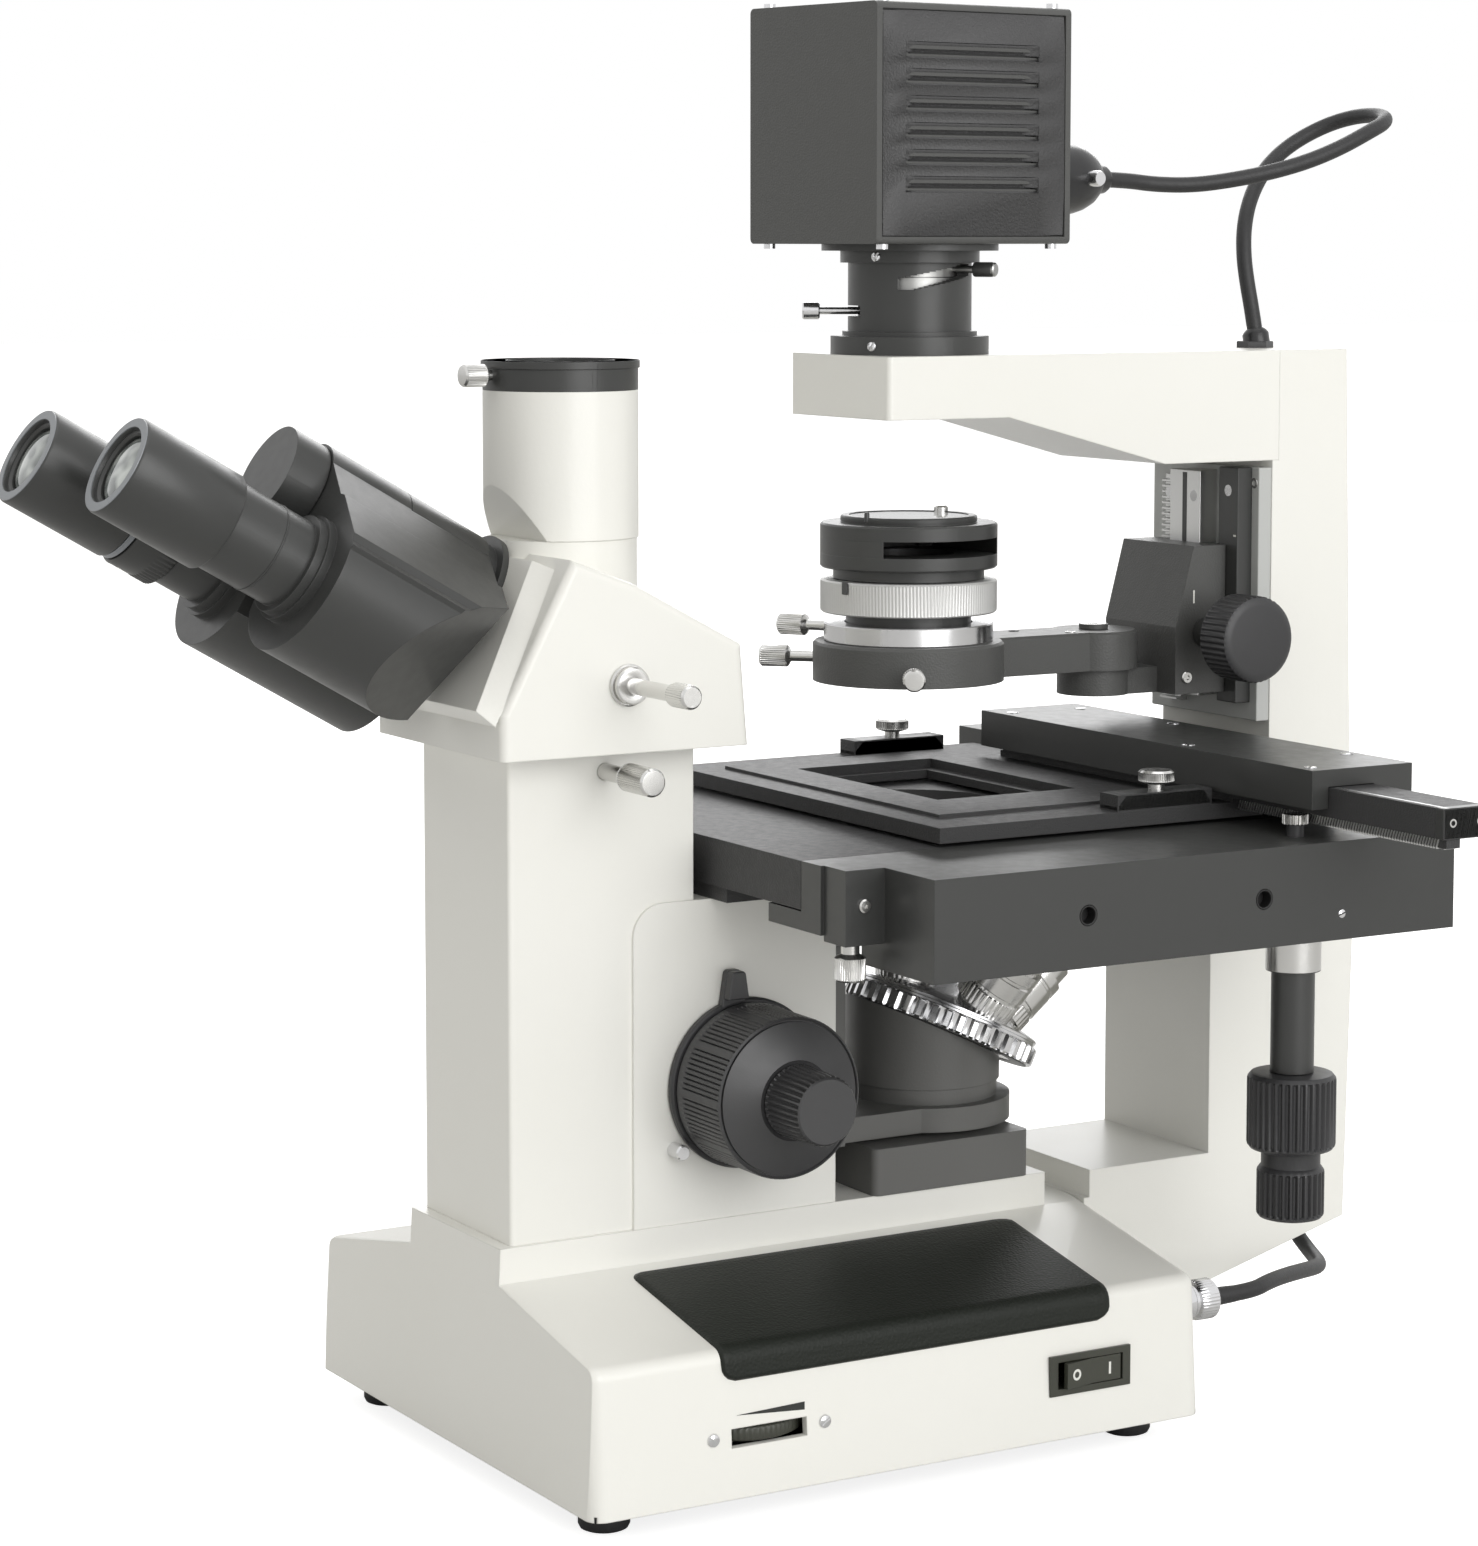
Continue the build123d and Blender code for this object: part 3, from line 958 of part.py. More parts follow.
def stage_y_carriage():
    """Front-to-back carriage: guides, apron, bridge, guide housing, lock bracket and drive sleeve."""
    carriage = None
    for side in (1, -1):
        x = sorted((side * (STAGE_HALF + GAP), side * GUIDE_OUTER))
        lip = sorted((side * GUIDE_INNER, side * (STAGE_HALF + 1)))
        guide = block(x[0], x[1], STAGE_FRONT, GUIDE_REAR, GUIDE_BOTTOM, STAGE_TOP)
        guide += block(lip[0], lip[1], STAGE_FRONT, GUIDE_REAR, GUIDE_BOTTOM, GUIDE_BOTTOM + GUIDE_LIP)
        carriage = guide if carriage is None else carriage + guide
    bridge_z = STAGE_TOP + GAP
    carriage += block(-GUIDE_OUTER, GUIDE_OUTER, BAR_Y1 + GAP, HOUSING_Y1, bridge_z, HOUSING_Z0)
    for side in (1, -1):
        x = sorted((side * (STAGE_HALF + GAP), side * GUIDE_OUTER))
        carriage += block(x[0], x[1], BAR_Y1 + GAP, GUIDE_REAR, STAGE_TOP - 1, bridge_z + 1)
    apron = block(GUIDE_OUTER - 0.5, APRON_OUTER, APRON_FRONT, APRON_REAR, APRON_BOTTOM, STAGE_TOP)
    apron -= block(GUIDE_OUTER - 1, APRON_OUTER - APRON_WALL, APRON_FRONT + APRON_WALL, APRON_REAR - APRON_WALL,
                   APRON_BOTTOM - 1, STAGE_TOP - APRON_WALL - 1)
    apron -= block(GUIDE_OUTER - 1, DRIVE_X - Y_PINION_RADIUS + 1, APRON_REAR - 10, APRON_REAR + 1,
                   APRON_BOTTOM - 1, GUIDE_BOTTOM + 2)
    for y, z in zip(APRON_HOLE_Y, APRON_HOLE_Z):
        apron -= round_bar((APRON_OUTER - 10, y, z), (1, 0, 0), APRON_HOLE_RADIUS, 20)
    carriage += apron
    inner_y0 = BAR_Y0 - GAP
    inner_y1 = BAR_Y1 + GAP
    roof = block(HOUSING_LEFT, HOUSING_RIGHT, HOUSING_Y0, HOUSING_Y1, HOUSING_Z0, HOUSING_Z1)
    roof -= block(HOUSING_LEFT - 1, HOUSING_RIGHT + 1, inner_y0, inner_y1, HOUSING_Z0 - 5, BAR_Z1 + GAP)
    carriage += roof
    carriage += block(BRACKET_OUTER - 14, BRACKET_OUTER, BRACKET_FRONT, APRON_FRONT + 1, BRACKET_BOTTOM, STAGE_TOP)
    web_z0 = APRON_BOTTOM
    carriage += block(DRIVE_X - 4.5, APRON_OUTER - 1, DRIVE_Y - 28, DRIVE_Y + 28, web_z0, web_z0 + 3)
    carriage += disc(DRIVE_X, DRIVE_Y, DRIVE_COLLAR_Z, web_z0 + 3, DRIVE_COLLAR_RADIUS)
    carriage += disc(DRIVE_X, DRIVE_Y, BIG_KNOB_Z1 + GAP, DRIVE_COLLAR_Z, DRIVE_TUBE_RADIUS)
    carriage -= disc(DRIVE_X, DRIVE_Y, BIG_KNOB_Z1 - 1, web_z0 + 4, OUTER_SHAFT_RADIUS + RUNNING)
    carriage -= disc(DRIVE_X, DRIVE_Y, web_z0 + 3, STAGE_TOP + 1, INNER_SHAFT_RADIUS + RUNNING)
    return carriage - round_bar((LOCK_X, LOCK_Y, BRACKET_BOTTOM - 1), (0, 0, 1), 2 + RUNNING, 12)


def stage_lock_screw():
    """Knurled screw under the lock bracket that fixes the front-to-back travel."""
    start = (LOCK_X, LOCK_Y, BRACKET_BOTTOM + 9)
    return thumb_screw(start, (0, 0, -1), 2.0, 11.0, 5.4, 11)


def stage_x_carriage():
    """Side-to-side carriage: bar with its rack, moving plate with the specimen window, and both clips."""
    bar = block(BAR_LEFT, BAR_RIGHT, BAR_Y0, BAR_Y1, BAR_Z0, BAR_Z1)
    bar += block(PLATE_LEFT + 40, PLATE_RIGHT, BAR_Y0, PLATE_REAR, PLATE_Z1 - 1, BAR_Z0 + 1)
    rack = block(PLATE_RIGHT - 1, BAR_RIGHT - 1, X_RACK_FRONT, X_RACK_FRONT + 6, BAR_Z0 - 3.4, BAR_Z0 + 1)
    plate = block(PLATE_LEFT, PLATE_RIGHT, PLATE_FRONT, PLATE_REAR, PLATE_Z0, PLATE_Z1)
    plate += block(FRAME_LEFT, FRAME_RIGHT, FRAME_FRONT, FRAME_REAR, PLATE_Z1 - 1, PLATE_Z1 + FRAME_HEIGHT)
    plate -= block(WINDOW_LEFT, WINDOW_RIGHT, WINDOW_FRONT, WINDOW_REAR, PLATE_Z1 - 2.4, PLATE_Z1 + 5)
    ledge = WINDOW_LEDGE
    plate -= block(WINDOW_LEFT + ledge, WINDOW_RIGHT - ledge, WINDOW_FRONT + ledge, WINDOW_REAR - ledge,
                   PLATE_Z0 - 1, PLATE_Z1 + 5)
    carriage = bar + rack + plate
    clips = []
    for x in clip_places():
        clip = block(x - CLIP_WIDTH / 2, x + CLIP_WIDTH / 2, CLIP_Y - CLIP_LENGTH / 2, CLIP_Y + CLIP_LENGTH / 2,
                     PLATE_Z1, PLATE_Z1 + CLIP_HEIGHT)
        clips.append(clip - disc(x, CLIP_Y, PLATE_Z1 - 1, PLATE_Z1 + CLIP_HEIGHT + 1, 2 + RUNNING))
        carriage -= disc(x, CLIP_Y, PLATE_Z0 - 1, PLATE_Z1 + 1, 2 + RUNNING)
    return [carriage] + clips


def clip_places():
    """X of the left and the right specimen clip."""
    return [PLATE_LEFT + CLIP_WIDTH / 2 + 1.5, PLATE_RIGHT - CLIP_WIDTH / 2 - 0.5]


def clip_screw(x):
    """Thumb screw that holds a specimen clip on the moving plate."""
    start = (x, CLIP_Y, PLATE_Z0 + 0.4)
    length = PLATE_Z1 - PLATE_Z0 + CLIP_HEIGHT - 0.4 + 0.1
    return thumb_screw(start, (0, 0, 1), 2.0, length, CLIP_SCREW_RADIUS, 7.0)


def y_drive_knob():
    """Large lower knob with its hollow shaft and the pinion for the front-to-back travel."""
    knob = disc(DRIVE_X, DRIVE_Y, BIG_KNOB_Z0, BIG_KNOB_Z1, BIG_KNOB_RADIUS)
    knob = chamfer(knob.edges().filter_by(GeomType.CIRCLE), 1.4)
    low = GUIDE_BOTTOM - GAP - 5.7
    knob += disc(DRIVE_X, DRIVE_Y, BIG_KNOB_Z0, low, OUTER_SHAFT_RADIUS)
    knob += disc(DRIVE_X, DRIVE_Y, low, low + 5.7, Y_PINION_RADIUS)
    return knob - disc(DRIVE_X, DRIVE_Y, BIG_KNOB_Z0 - 1, low + 10, INNER_SHAFT_RADIUS + RUNNING)


def x_drive_knob():
    """Small lowest knob with its neck, inner shaft and the pinion for the side-to-side travel."""
    knob = disc(DRIVE_X, DRIVE_Y, SMALL_KNOB_Z0, SMALL_KNOB_Z1, SMALL_KNOB_RADIUS)
    knob = chamfer(knob.edges().filter_by(GeomType.CIRCLE), 1.2)
    knob += disc(DRIVE_X, DRIVE_Y, SMALL_KNOB_Z1, BIG_KNOB_Z0 - GAP, SMALL_KNOB_RADIUS - 1.4)
    knob += disc(DRIVE_X, DRIVE_Y, SMALL_KNOB_Z1, BAR_Z0 - 4, INNER_SHAFT_RADIUS)
    return knob + disc(DRIVE_X, DRIVE_Y, BAR_Z0 - 4, BAR_Z0 - GAP, X_PINION_RADIUS)


# Column, arm and condenser carrier

def rear_column():
    """Rear column with its tail: one hollow casting."""
    outline = [(BASE_LENGTH, TAIL_LOW_Z), TAIL_REAR, (COLUMN_REAR_MIDDLE, 165), (TAIL_REAR[0], 240),
               (COLUMN_REAR_TOP, ARM_TOP), (ARM_SEAM, ARM_TOP), (ARM_SEAM, ARM_SIDE[2][1]),
               (COLUMN_FRONT, ARM_SIDE[2][1]), (COLUMN_FRONT, LOWER_COLUMN_TOP),
               (LOWER_COLUMN_FRONT, LOWER_COLUMN_TOP), (LOWER_COLUMN_FRONT, TAIL_TOP), (TAIL_FRONT, TAIL_TOP),
               (TAIL_FRONT, SHOULDER_Z), (BASE_LENGTH, SHOULDER_Z)]
    column = side_prism(outline, -COLUMN_HALF, COLUMN_HALF)
    wall = CAST_WALL
    half = COLUMN_HALF - wall
    column -= block(-half, half, COLUMN_FRONT + wall, COLUMN_REAR_TOP - wall, TAIL_TOP, ARM_TOP - wall)
    column -= block(-half, half, LOWER_COLUMN_FRONT + wall, COLUMN_REAR_TOP - wall, 58, LOWER_COLUMN_TOP - wall)
    column -= side_prism([(BASE_LENGTH - 1, TAIL_LOW_Z + wall + 1), (COLUMN_REAR_TOP - wall, 57.5),
                          (COLUMN_REAR_TOP - wall, TAIL_TOP - wall), (BASE_LENGTH - 1, SHOULDER_Z - wall)], -half, half)
    return column - tail_grommet(6)


def tail_grommet(lead=0):
    """Grommet under the tail where the base cable goes in; a lead starts it before the cable's end."""
    end = Vector(*BASE_CORD[-1])
    along = (end - Vector(*BASE_CORD[-2])).normalized()
    return round_bar(tuple(end - along * lead), tuple(along), GROMMET_RADIUS, 8 + lead)


def upper_arm():
    """Arm that carries the lamp over the stage."""
    outline = [(ARM_FRONT, ARM_TOP), *ARM_SIDE, (ARM_SEAM, ARM_TOP)]
    arm = side_prism(outline, -COLUMN_HALF, COLUMN_HALF)
    front = [e for e in arm.edges().filter_by(Axis.Z) if e.center().Y < ARM_FRONT + 1]
    arm = fillet(front, 2.0)
    wall = CAST_WALL
    half = COLUMN_HALF - wall
    low = [(y, z + wall) for y, z in ARM_SIDE[1:3]]
    inner = [(ARM_FRONT + wall, ARM_TOP - wall), (ARM_FRONT + wall, low[0][1]), *low,
             (ARM_SEAM + 1, low[1][1]), (ARM_SEAM + 1, ARM_TOP - wall)]
    arm -= side_prism(inner, -half, half)
    return arm - disc(0, AXIS_Y, 360, ARM_TOP + 1, LAMP_TUBE_BORE)


def condenser_rail():
    """Light strip on the front of the column with the dovetail rail, height rack and stop bar on it."""
    strip = block(-COLUMN_HALF + 0.4, COLUMN_HALF - 0.4, STRIP_FRONT, COLUMN_FRONT, STRIP_BOTTOM, STRIP_TOP)
    rail = block(-RAIL_HALF, RAIL_HALF, RAIL_FRONT, STRIP_FRONT, RAIL_BOTTOM, RAIL_TOP)
    rack = block(RACK_LEFT, RACK_RIGHT, RACK_FRONT, STRIP_FRONT, 256, 345)
    stop = block(STOP_LEFT, STOP_RIGHT, STOP_FRONT, STRIP_FRONT, 259, 350)
    stop_screw, rail_screw, rack_screw = rail_screws()
    return [strip, rail - rail_screw, rack - rack_screw, stop - stop_screw]


def rail_screws():
    """Screws sunk flush in the top of the stop bar, the rail and the rack."""
    places = [(STOP_LEFT + 6, STOP_FRONT, 341), (RAIL_HALF - 4, RAIL_FRONT, 338), (RACK_LEFT + 5, RACK_FRONT, 338)]
    return [round_bar(place, (0, 1, 0), 2.2, 1.4) for place in places]


def condenser_carriage():
    """Carriage on the rail with the lug that carries the condenser arm."""
    rear = RAIL_FRONT + 6
    outline = [(CARRIAGE_FRONT + 8.3, CARRIAGE_TOP), (CARRIAGE_FRONT, 289), (CARRIAGE_FRONT, CARRIAGE_BOTTOM),
               (rear, CARRIAGE_BOTTOM), (rear, CARRIAGE_TOP)]
    body = side_prism(outline, -CARRIAGE_HALF, CARRIAGE_HALF)
    groove = RAIL_HALF + RUNNING
    body -= block(-groove, groove, RAIL_FRONT - RUNNING, rear + 1, CARRIAGE_BOTTOM - 1, CARRIAGE_TOP + 1)
    low = CARRIAGE_BOTTOM - 1
    high = CARRIAGE_TOP + 1
    body -= block(RACK_LEFT - GAP - 2, RACK_RIGHT + GAP, RACK_FRONT - GAP, rear + 1, low, high)
    body -= block(STOP_LEFT - GAP, CARRIAGE_HALF + 1, STOP_FRONT - GAP, rear + 1, low, high)
    lug = block(-11, 11, PIVOT_Y, CARRIAGE_FRONT + 1, CARRIAGE_BOTTOM, LUG_TOP - RUNNING)
    lug += disc(0, PIVOT_Y, CARRIAGE_BOTTOM, LUG_TOP - RUNNING, PIVOT_BOSS_RADIUS - 3)
    pin = disc(0, PIVOT_Y, CARRIAGE_BOTTOM + 2, LUG_TOP + ARM_THICKNESS + 0.1, PIVOT_RADIUS - 1)
    bolt = disc(0, PIVOT_Y, LUG_TOP + ARM_THICKNESS + 0.1, LUG_TOP + ARM_THICKNESS + 2, PIVOT_RADIUS + 0.6)
    body = body + lug + pin + bolt
    body -= round_bar((-60, KNOB_Y, KNOB_Z), (1, 0, 0), KNOB_SHAFT_RADIUS + RUNNING, 120)
    pocket = condenser_pinion_radius() + GAP
    return body - round_bar((RACK_RIGHT + GAP, KNOB_Y, KNOB_Z), (-1, 0, 0), pocket, 20)


def condenser_pinion_radius():
    """Pitch radius of the pinion that climbs the height rack."""
    return RACK_FRONT - KNOB_Y - GAP


def condenser_knob():
    """Height knob of the condenser with its shaft and pinion."""
    pinion_length = RACK_RIGHT - RACK_LEFT
    knob = round_bar((KNOB_X0, KNOB_Y, KNOB_Z), (1, 0, 0), KNOB_RADIUS, KNOB_X1 - KNOB_X0)
    knob = chamfer(knob.edges().filter_by(GeomType.CIRCLE), 1.4)
    knob += round_bar((RACK_LEFT, KNOB_Y, KNOB_Z), (1, 0, 0), KNOB_SHAFT_RADIUS, KNOB_X0 - RACK_LEFT)
    knob += round_bar((RACK_LEFT, KNOB_Y, KNOB_Z), (1, 0, 0), condenser_pinion_radius(), pinion_length)
    neck_start = CARRIAGE_HALF + GAP
    return knob + round_bar((neck_start, KNOB_Y, KNOB_Z), (1, 0, 0), KNOB_SHAFT_RADIUS + 0.8, KNOB_X0 - neck_start)


def condenser_arm():
    """Swing arm of the condenser with its clamp ring and the polished ring on it."""
    top = LUG_TOP + ARM_THICKNESS
    arm = disc(0, AXIS_Y, LUG_TOP, top, ARM_RING_RADIUS)
    arm += block(-ARM_HALF, ARM_HALF, AXIS_Y + 20, PIVOT_Y, LUG_TOP, top)
    arm += disc(0, PIVOT_Y, LUG_TOP, top, PIVOT_BOSS_RADIUS)
    arm = chamfer([e for e in arm.edges() if abs(e.center().Z - top) < 0.01], 1.0)
    arm += disc(0, AXIS_Y, top, POLISHED_TOP, POLISHED_RADIUS)
    arm -= disc(0, AXIS_Y, LUG_TOP - 1, POLISHED_TOP + 1, ARM_RING_BORE)
    notch = block(ARM_RING_RADIUS - 6, ARM_RING_RADIUS + 2, -2, 2, LUG_TOP - 1, top + 0.2)
    arm -= Pos(0, AXIS_Y, 0) * Rot(0, 0, NOTCH_AZIMUTH) * notch
    for azimuth, height, start, end in SIDE_SCREWS.values():
        out = direction_of(azimuth)
        arm -= round_bar((0, AXIS_Y, height), out, 2 + RUNNING, 60)
    return arm - disc(0, PIVOT_Y, LUG_TOP - 1, top + 1, PIVOT_RADIUS - 1 + RUNNING)


def side_screw(azimuth, height, start, end):
    """Knurled screw in the side of the condenser's rings."""
    out = direction_of(azimuth)
    first = (out[0] * (BARREL_RADIUS + 1), AXIS_Y + out[1] * (BARREL_RADIUS + 1), height)
    head = end - start - 8
    head_length = 11 if head > 8 else 7
    shank = end - head_length - BARREL_RADIUS - 1
    return thumb_screw(first, out, 2.0, shank, 4.1, head_length)


def condenser_body():
    """Condenser barrel in the arm's ring, with its neck and the floor of the filter slot."""
    body = disc(0, AXIS_Y, LUG_TOP + 2, CONDENSER_Z0, BARREL_RADIUS)
    body += disc(0, AXIS_Y, APERTURE_Z1 + GAP, CONDENSER_Z0, CONDENSER_NECK_RADIUS)
    floor = disc(0, AXIS_Y, CONDENSER_Z0, FILTER_Z0, CONDENSER_RADIUS)
    body += chamfer(floor.edges().filter_by(GeomType.CIRCLE).sort_by(Axis.Z)[0], 0.7)
    body -= disc(0, AXIS_Y, LUG_TOP, LENS_PLATE_TOP + 1, CONDENSER_LENS_RADIUS)
    lower_lens = disc(0, AXIS_Y, LUG_TOP + 4, LUG_TOP + 14, CONDENSER_LENS_RADIUS)
    return [body, lower_lens]


def condenser_head():
    """Top of the condenser: three spacers round the filter slot, the cover with the lens plate, the lens."""
    ring = disc(0, AXIS_Y, FILTER_Z0, FILTER_Z1, CONDENSER_RADIUS)
    reach = CONDENSER_RADIUS + 2
    front = ring & block(-reach, reach, AXIS_Y - reach, AXIS_Y - FILTER_HALF, FILTER_Z0, FILTER_Z1)
    rear = ring & block(-reach, reach, AXIS_Y + FILTER_HALF, AXIS_Y + reach, FILTER_Z0, FILTER_Z1)
    left = ring & block(-reach, -FILTER_HALF, AXIS_Y - FILTER_HALF, AXIS_Y + FILTER_HALF, FILTER_Z0, FILTER_Z1)
    cover = disc(0, AXIS_Y, FILTER_Z1, CONDENSER_Z1, CONDENSER_RADIUS)
    cover = chamfer(cover.edges().filter_by(GeomType.CIRCLE).sort_by(Axis.Z)[-1], 0.7)
    cover += disc(0, AXIS_Y, CONDENSER_Z1, LENS_PLATE_TOP, LENS_PLATE_RADIUS)
    cover -= disc(0, AXIS_Y, FILTER_Z1 - 1, LENS_PLATE_TOP + 1, CONDENSER_LENS_RADIUS)
    lens = disc(0, AXIS_Y, FILTER_Z1 + 1, LENS_PLATE_TOP - 0.4, CONDENSER_LENS_RADIUS)
    return [front, rear, left, cover, lens]


def aperture_ring():
    """Silver knurled ring of the aperture diaphragm."""
    ring = disc(0, AXIS_Y, APERTURE_Z0, APERTURE_Z1, APERTURE_RADIUS)
    ring = chamfer(ring.edges().filter_by(GeomType.CIRCLE), 0.5)
    return ring - disc(0, AXIS_Y, APERTURE_Z0 - 1, APERTURE_Z1 + 1, BARREL_RADIUS + RUNNING)


# Lamp

def lamp_mount():
    """Flange, tube, ring and plate under the lamp housing, with the slots of both levers."""
    mount = disc(0, AXIS_Y, ARM_TOP, LAMP_FLANGE_TOP, LAMP_FLANGE_RADIUS)
    mount += disc(0, AXIS_Y, LAMP_FLANGE_TOP, LAMP_TUBE_TOP, LAMP_TUBE_RADIUS)
    mount += disc(0, AXIS_Y, LAMP_FLANGE_TOP, LAMP_FLANGE_TOP + 1.7, LAMP_TUBE_RADIUS + 2.1)
    mount += disc(0, AXIS_Y, LAMP_TUBE_TOP, LAMP_RING_TOP, LAMP_RING_RADIUS)
    mount += disc(0, AXIS_Y, LAMP_RING_TOP, LAMP_Z0, LAMP_PLATE_RADIUS)
    mount -= disc(0, AXIS_Y, ARM_TOP - 1, LAMP_Z0 + 1, LAMP_TUBE_BORE)
    mount -= pie(FIELD_AZIMUTH - 35, FIELD_AZIMUTH + 35, LAMP_TUBE_RADIUS + 1.9, FIELD_Z - 2, FIELD_Z + 2)
    steps = 12
    for step in range(steps):
        share = (step + 0.5) / steps
        azimuth = COLLECTOR_AZIMUTH - COLLECTOR_TURN * share
        z = COLLECTOR_Z - COLLECTOR_DROP * share
        mount -= pie(azimuth - 8, azimuth + 8, LAMP_TUBE_RADIUS + 1, z - 2.2, z + 2.2)
    return mount


def lever(azimuth, z, start, tip, head_radius, head_length):
    """Lever rod with a knurled tip, pointing away from the optical axis."""
    out = direction_of(azimuth)
    first = (out[0] * start, AXIS_Y + out[1] * start, z)
    return thumb_screw(first, out, 1.4, tip - head_length - start, head_radius, head_length)


def field_lever():
    """Field diaphragm ring in the lamp tube with its lever."""
    outer = LAMP_TUBE_BORE - GAP
    ring = disc(0, AXIS_Y, FIELD_Z - 4, FIELD_Z + 1.5, outer, outer - 4)
    return ring + lever(FIELD_AZIMUTH, FIELD_Z, outer - 2, FIELD_TIP, 3.3, 6.5)


def collector_cell():
    """Collector lens cell that slides in the lamp tube, with its lens."""
    outer = LAMP_TUBE_BORE - RUNNING
    cell = disc(0, AXIS_Y, COLLECTOR_Z - 8, COLLECTOR_Z - 3, outer, outer - 5)
    cell += disc(0, AXIS_Y, COLLECTOR_Z - 8, COLLECTOR_Z + 5, outer - 4, outer - 5)
    lens = disc(0, AXIS_Y, COLLECTOR_Z - 8, COLLECTOR_Z - 3, outer - 5)
    return [cell, lens]


def collector_lever():
    """Ring round the collector cell with the lever that comes through the slanted slot."""
    outer = LAMP_TUBE_BORE - GAP
    inner = LAMP_TUBE_BORE - 4
    ring = disc(0, AXIS_Y, COLLECTOR_Z - 3 + GAP, COLLECTOR_Z + 3, outer, inner)
    return ring + lever(COLLECTOR_AZIMUTH, COLLECTOR_Z, outer - 2, COLLECTOR_TIP, 2.6, 7)


def lamp_place():
    """Location of the lamp housing, turned a little on its flange."""
    return Pos(0, AXIS_Y, 0) * Rot(0, 0, LAMP_TURN)


def lamp_housing():
    """Sheet-metal lamp housing with a louvred panel recessed on each side."""
    box = block(-LAMP_HALF_X, LAMP_HALF_X, -LAMP_HALF_Y, LAMP_HALF_Y, LAMP_Z0, LAMP_Z1)
    box = fillet(box.edges().filter_by(Axis.Y), 2.0)
    wall = 2.0
    box -= block(-LAMP_HALF_X + wall + PANEL_RECESS, LAMP_HALF_X - wall - PANEL_RECESS,
                 -LAMP_HALF_Y + wall, LAMP_HALF_Y - wall, LAMP_Z0 + wall, LAMP_Z1 - wall)
    middle = (LAMP_Z0 + LAMP_Z1) / 2
    height = LAMP_Z1 - LAMP_Z0
    for side in (1, -1):
        x = sorted((side * (LAMP_HALF_X - PANEL_RECESS), side * (LAMP_HALF_X + 1)))
        box -= block(x[0], x[1], -LAMP_HALF_Y + 2.6, LAMP_HALF_Y - 2.6, LAMP_Z0 + 2.6, LAMP_Z1 - 2.6)
        for row in range(LOUVRE_COUNT):
            z = middle + (row - (LOUVRE_COUNT - 1) / 2) * LOUVRE_PITCH + 0.02 * height
            y0 = -LOUVRE_LENGTH / 2
            slit = sorted((side * (LAMP_HALF_X - 8), side * (LAMP_HALF_X + 1)))
            box -= block(slit[0], slit[1], y0, -y0, z - 0.9, z + 0.9)
    box -= Cylinder(LAMP_TUBE_BORE, 2 * (LAMP_Z0 + wall + 1))
    box -= round_bar((DOME_X, LAMP_HALF_Y - 5, DOME_Z), (0, 1, 0), 5, 10)
    return lamp_place() * box


def lamp_socket():
    """Lamp socket, the concave reflector on its stem, and the halogen capsule."""
    base = block(-14, 14, 18, LAMP_HALF_Y - 2, 470, 494)
    base += block(-8, 8, LAMP_HALF_Y - 12, LAMP_HALF_Y - 2, 462, 472)
    base -= round_bar((0, 20, 482), (0, -1, 0), 5, 10)
    reflector = disc(0, 0, 500, 506, 17) - Pos(0, 0, 494) * Sphere(11)
    stem = block(-4, 4, 12, LAMP_HALF_Y - 2, 502, 505.5)
    capsule = round_bar((0, 18, 482), (0, -1, 0), 5.5, 20)
    pins = round_bar((0, 20, 482), (0, -1, 0), 4.8, 2)
    return [lamp_place() * piece for piece in (base, reflector + stem, capsule + pins)]


def cable_fittings():
    """Dome on the lamp housing with its stub, gland on the arm, connector on the base and tail grommet."""
    place = lamp_place()
    dome = round_bar((DOME_X, LAMP_HALF_Y, DOME_Z), (0, 1, 0), DOME_RADIUS, DOME_LENGTH - 12)
    dome += cone_bar((DOME_X, LAMP_HALF_Y + DOME_LENGTH - 12, DOME_Z), (0, 1, 0), DOME_RADIUS, 5.2, 12)
    stub = round_bar((DOME_X, LAMP_HALF_Y + 17, DOME_Z), (1, 0, 0), 3.0, 18)
    dome = place * (dome + stub)
    start = Vector(*LAMP_CORD[0])
    along = (Vector(*LAMP_CORD[1]) - start).normalized()
    dome -= round_bar(LAMP_CORD[0], tuple(along), DOME_RADIUS, 20)
    end = Vector(*LAMP_CORD[-1])
    along = (end - Vector(*LAMP_CORD[-2])).normalized()
    gland = disc(end.X, end.Y, ARM_TOP, ARM_TOP + 2, 7.2)
    gland += round_bar(tuple(end), tuple(along), GROMMET_RADIUS, end.Z - ARM_TOP - 1)
    x, z = CONNECTOR_X, CONNECTOR_Z
    connector = round_bar((x, BASE_LENGTH, z), (0, 1, 0), CONNECTOR_RADIUS, 5)
    connector += round_bar((x, BASE_LENGTH - 6, z), (0, 1, 0), CONNECTOR_RADIUS - 1.6, CONNECTOR_LENGTH + 6)
    connector += round_bar((x, BASE_LENGTH + 9, z), (0, 1, 0), CONNECTOR_RADIUS, 11)
    return [dome, gland, connector, tail_grommet()]


def cord(points):
    """Tube along straight runs joined by tangent arcs as large as the runs allow."""
    route = [Vector(*point) for point in points]
    radii = []
    for before, here, after in zip(route, route[1:], route[2:]):
        turn = math.radians((here - before).get_angle(after - here))
        shorter = min((here - before).length, (after - here).length)
        radii.append(0.45 * shorter / math.tan(turn / 2))
    path = FilletPolyline(*points, radius=radii)
    section = Plane(origin=points[0], z_dir=route[1] - route[0]) * Circle(CORD_RADIUS)
    return sweep(section, path=path)


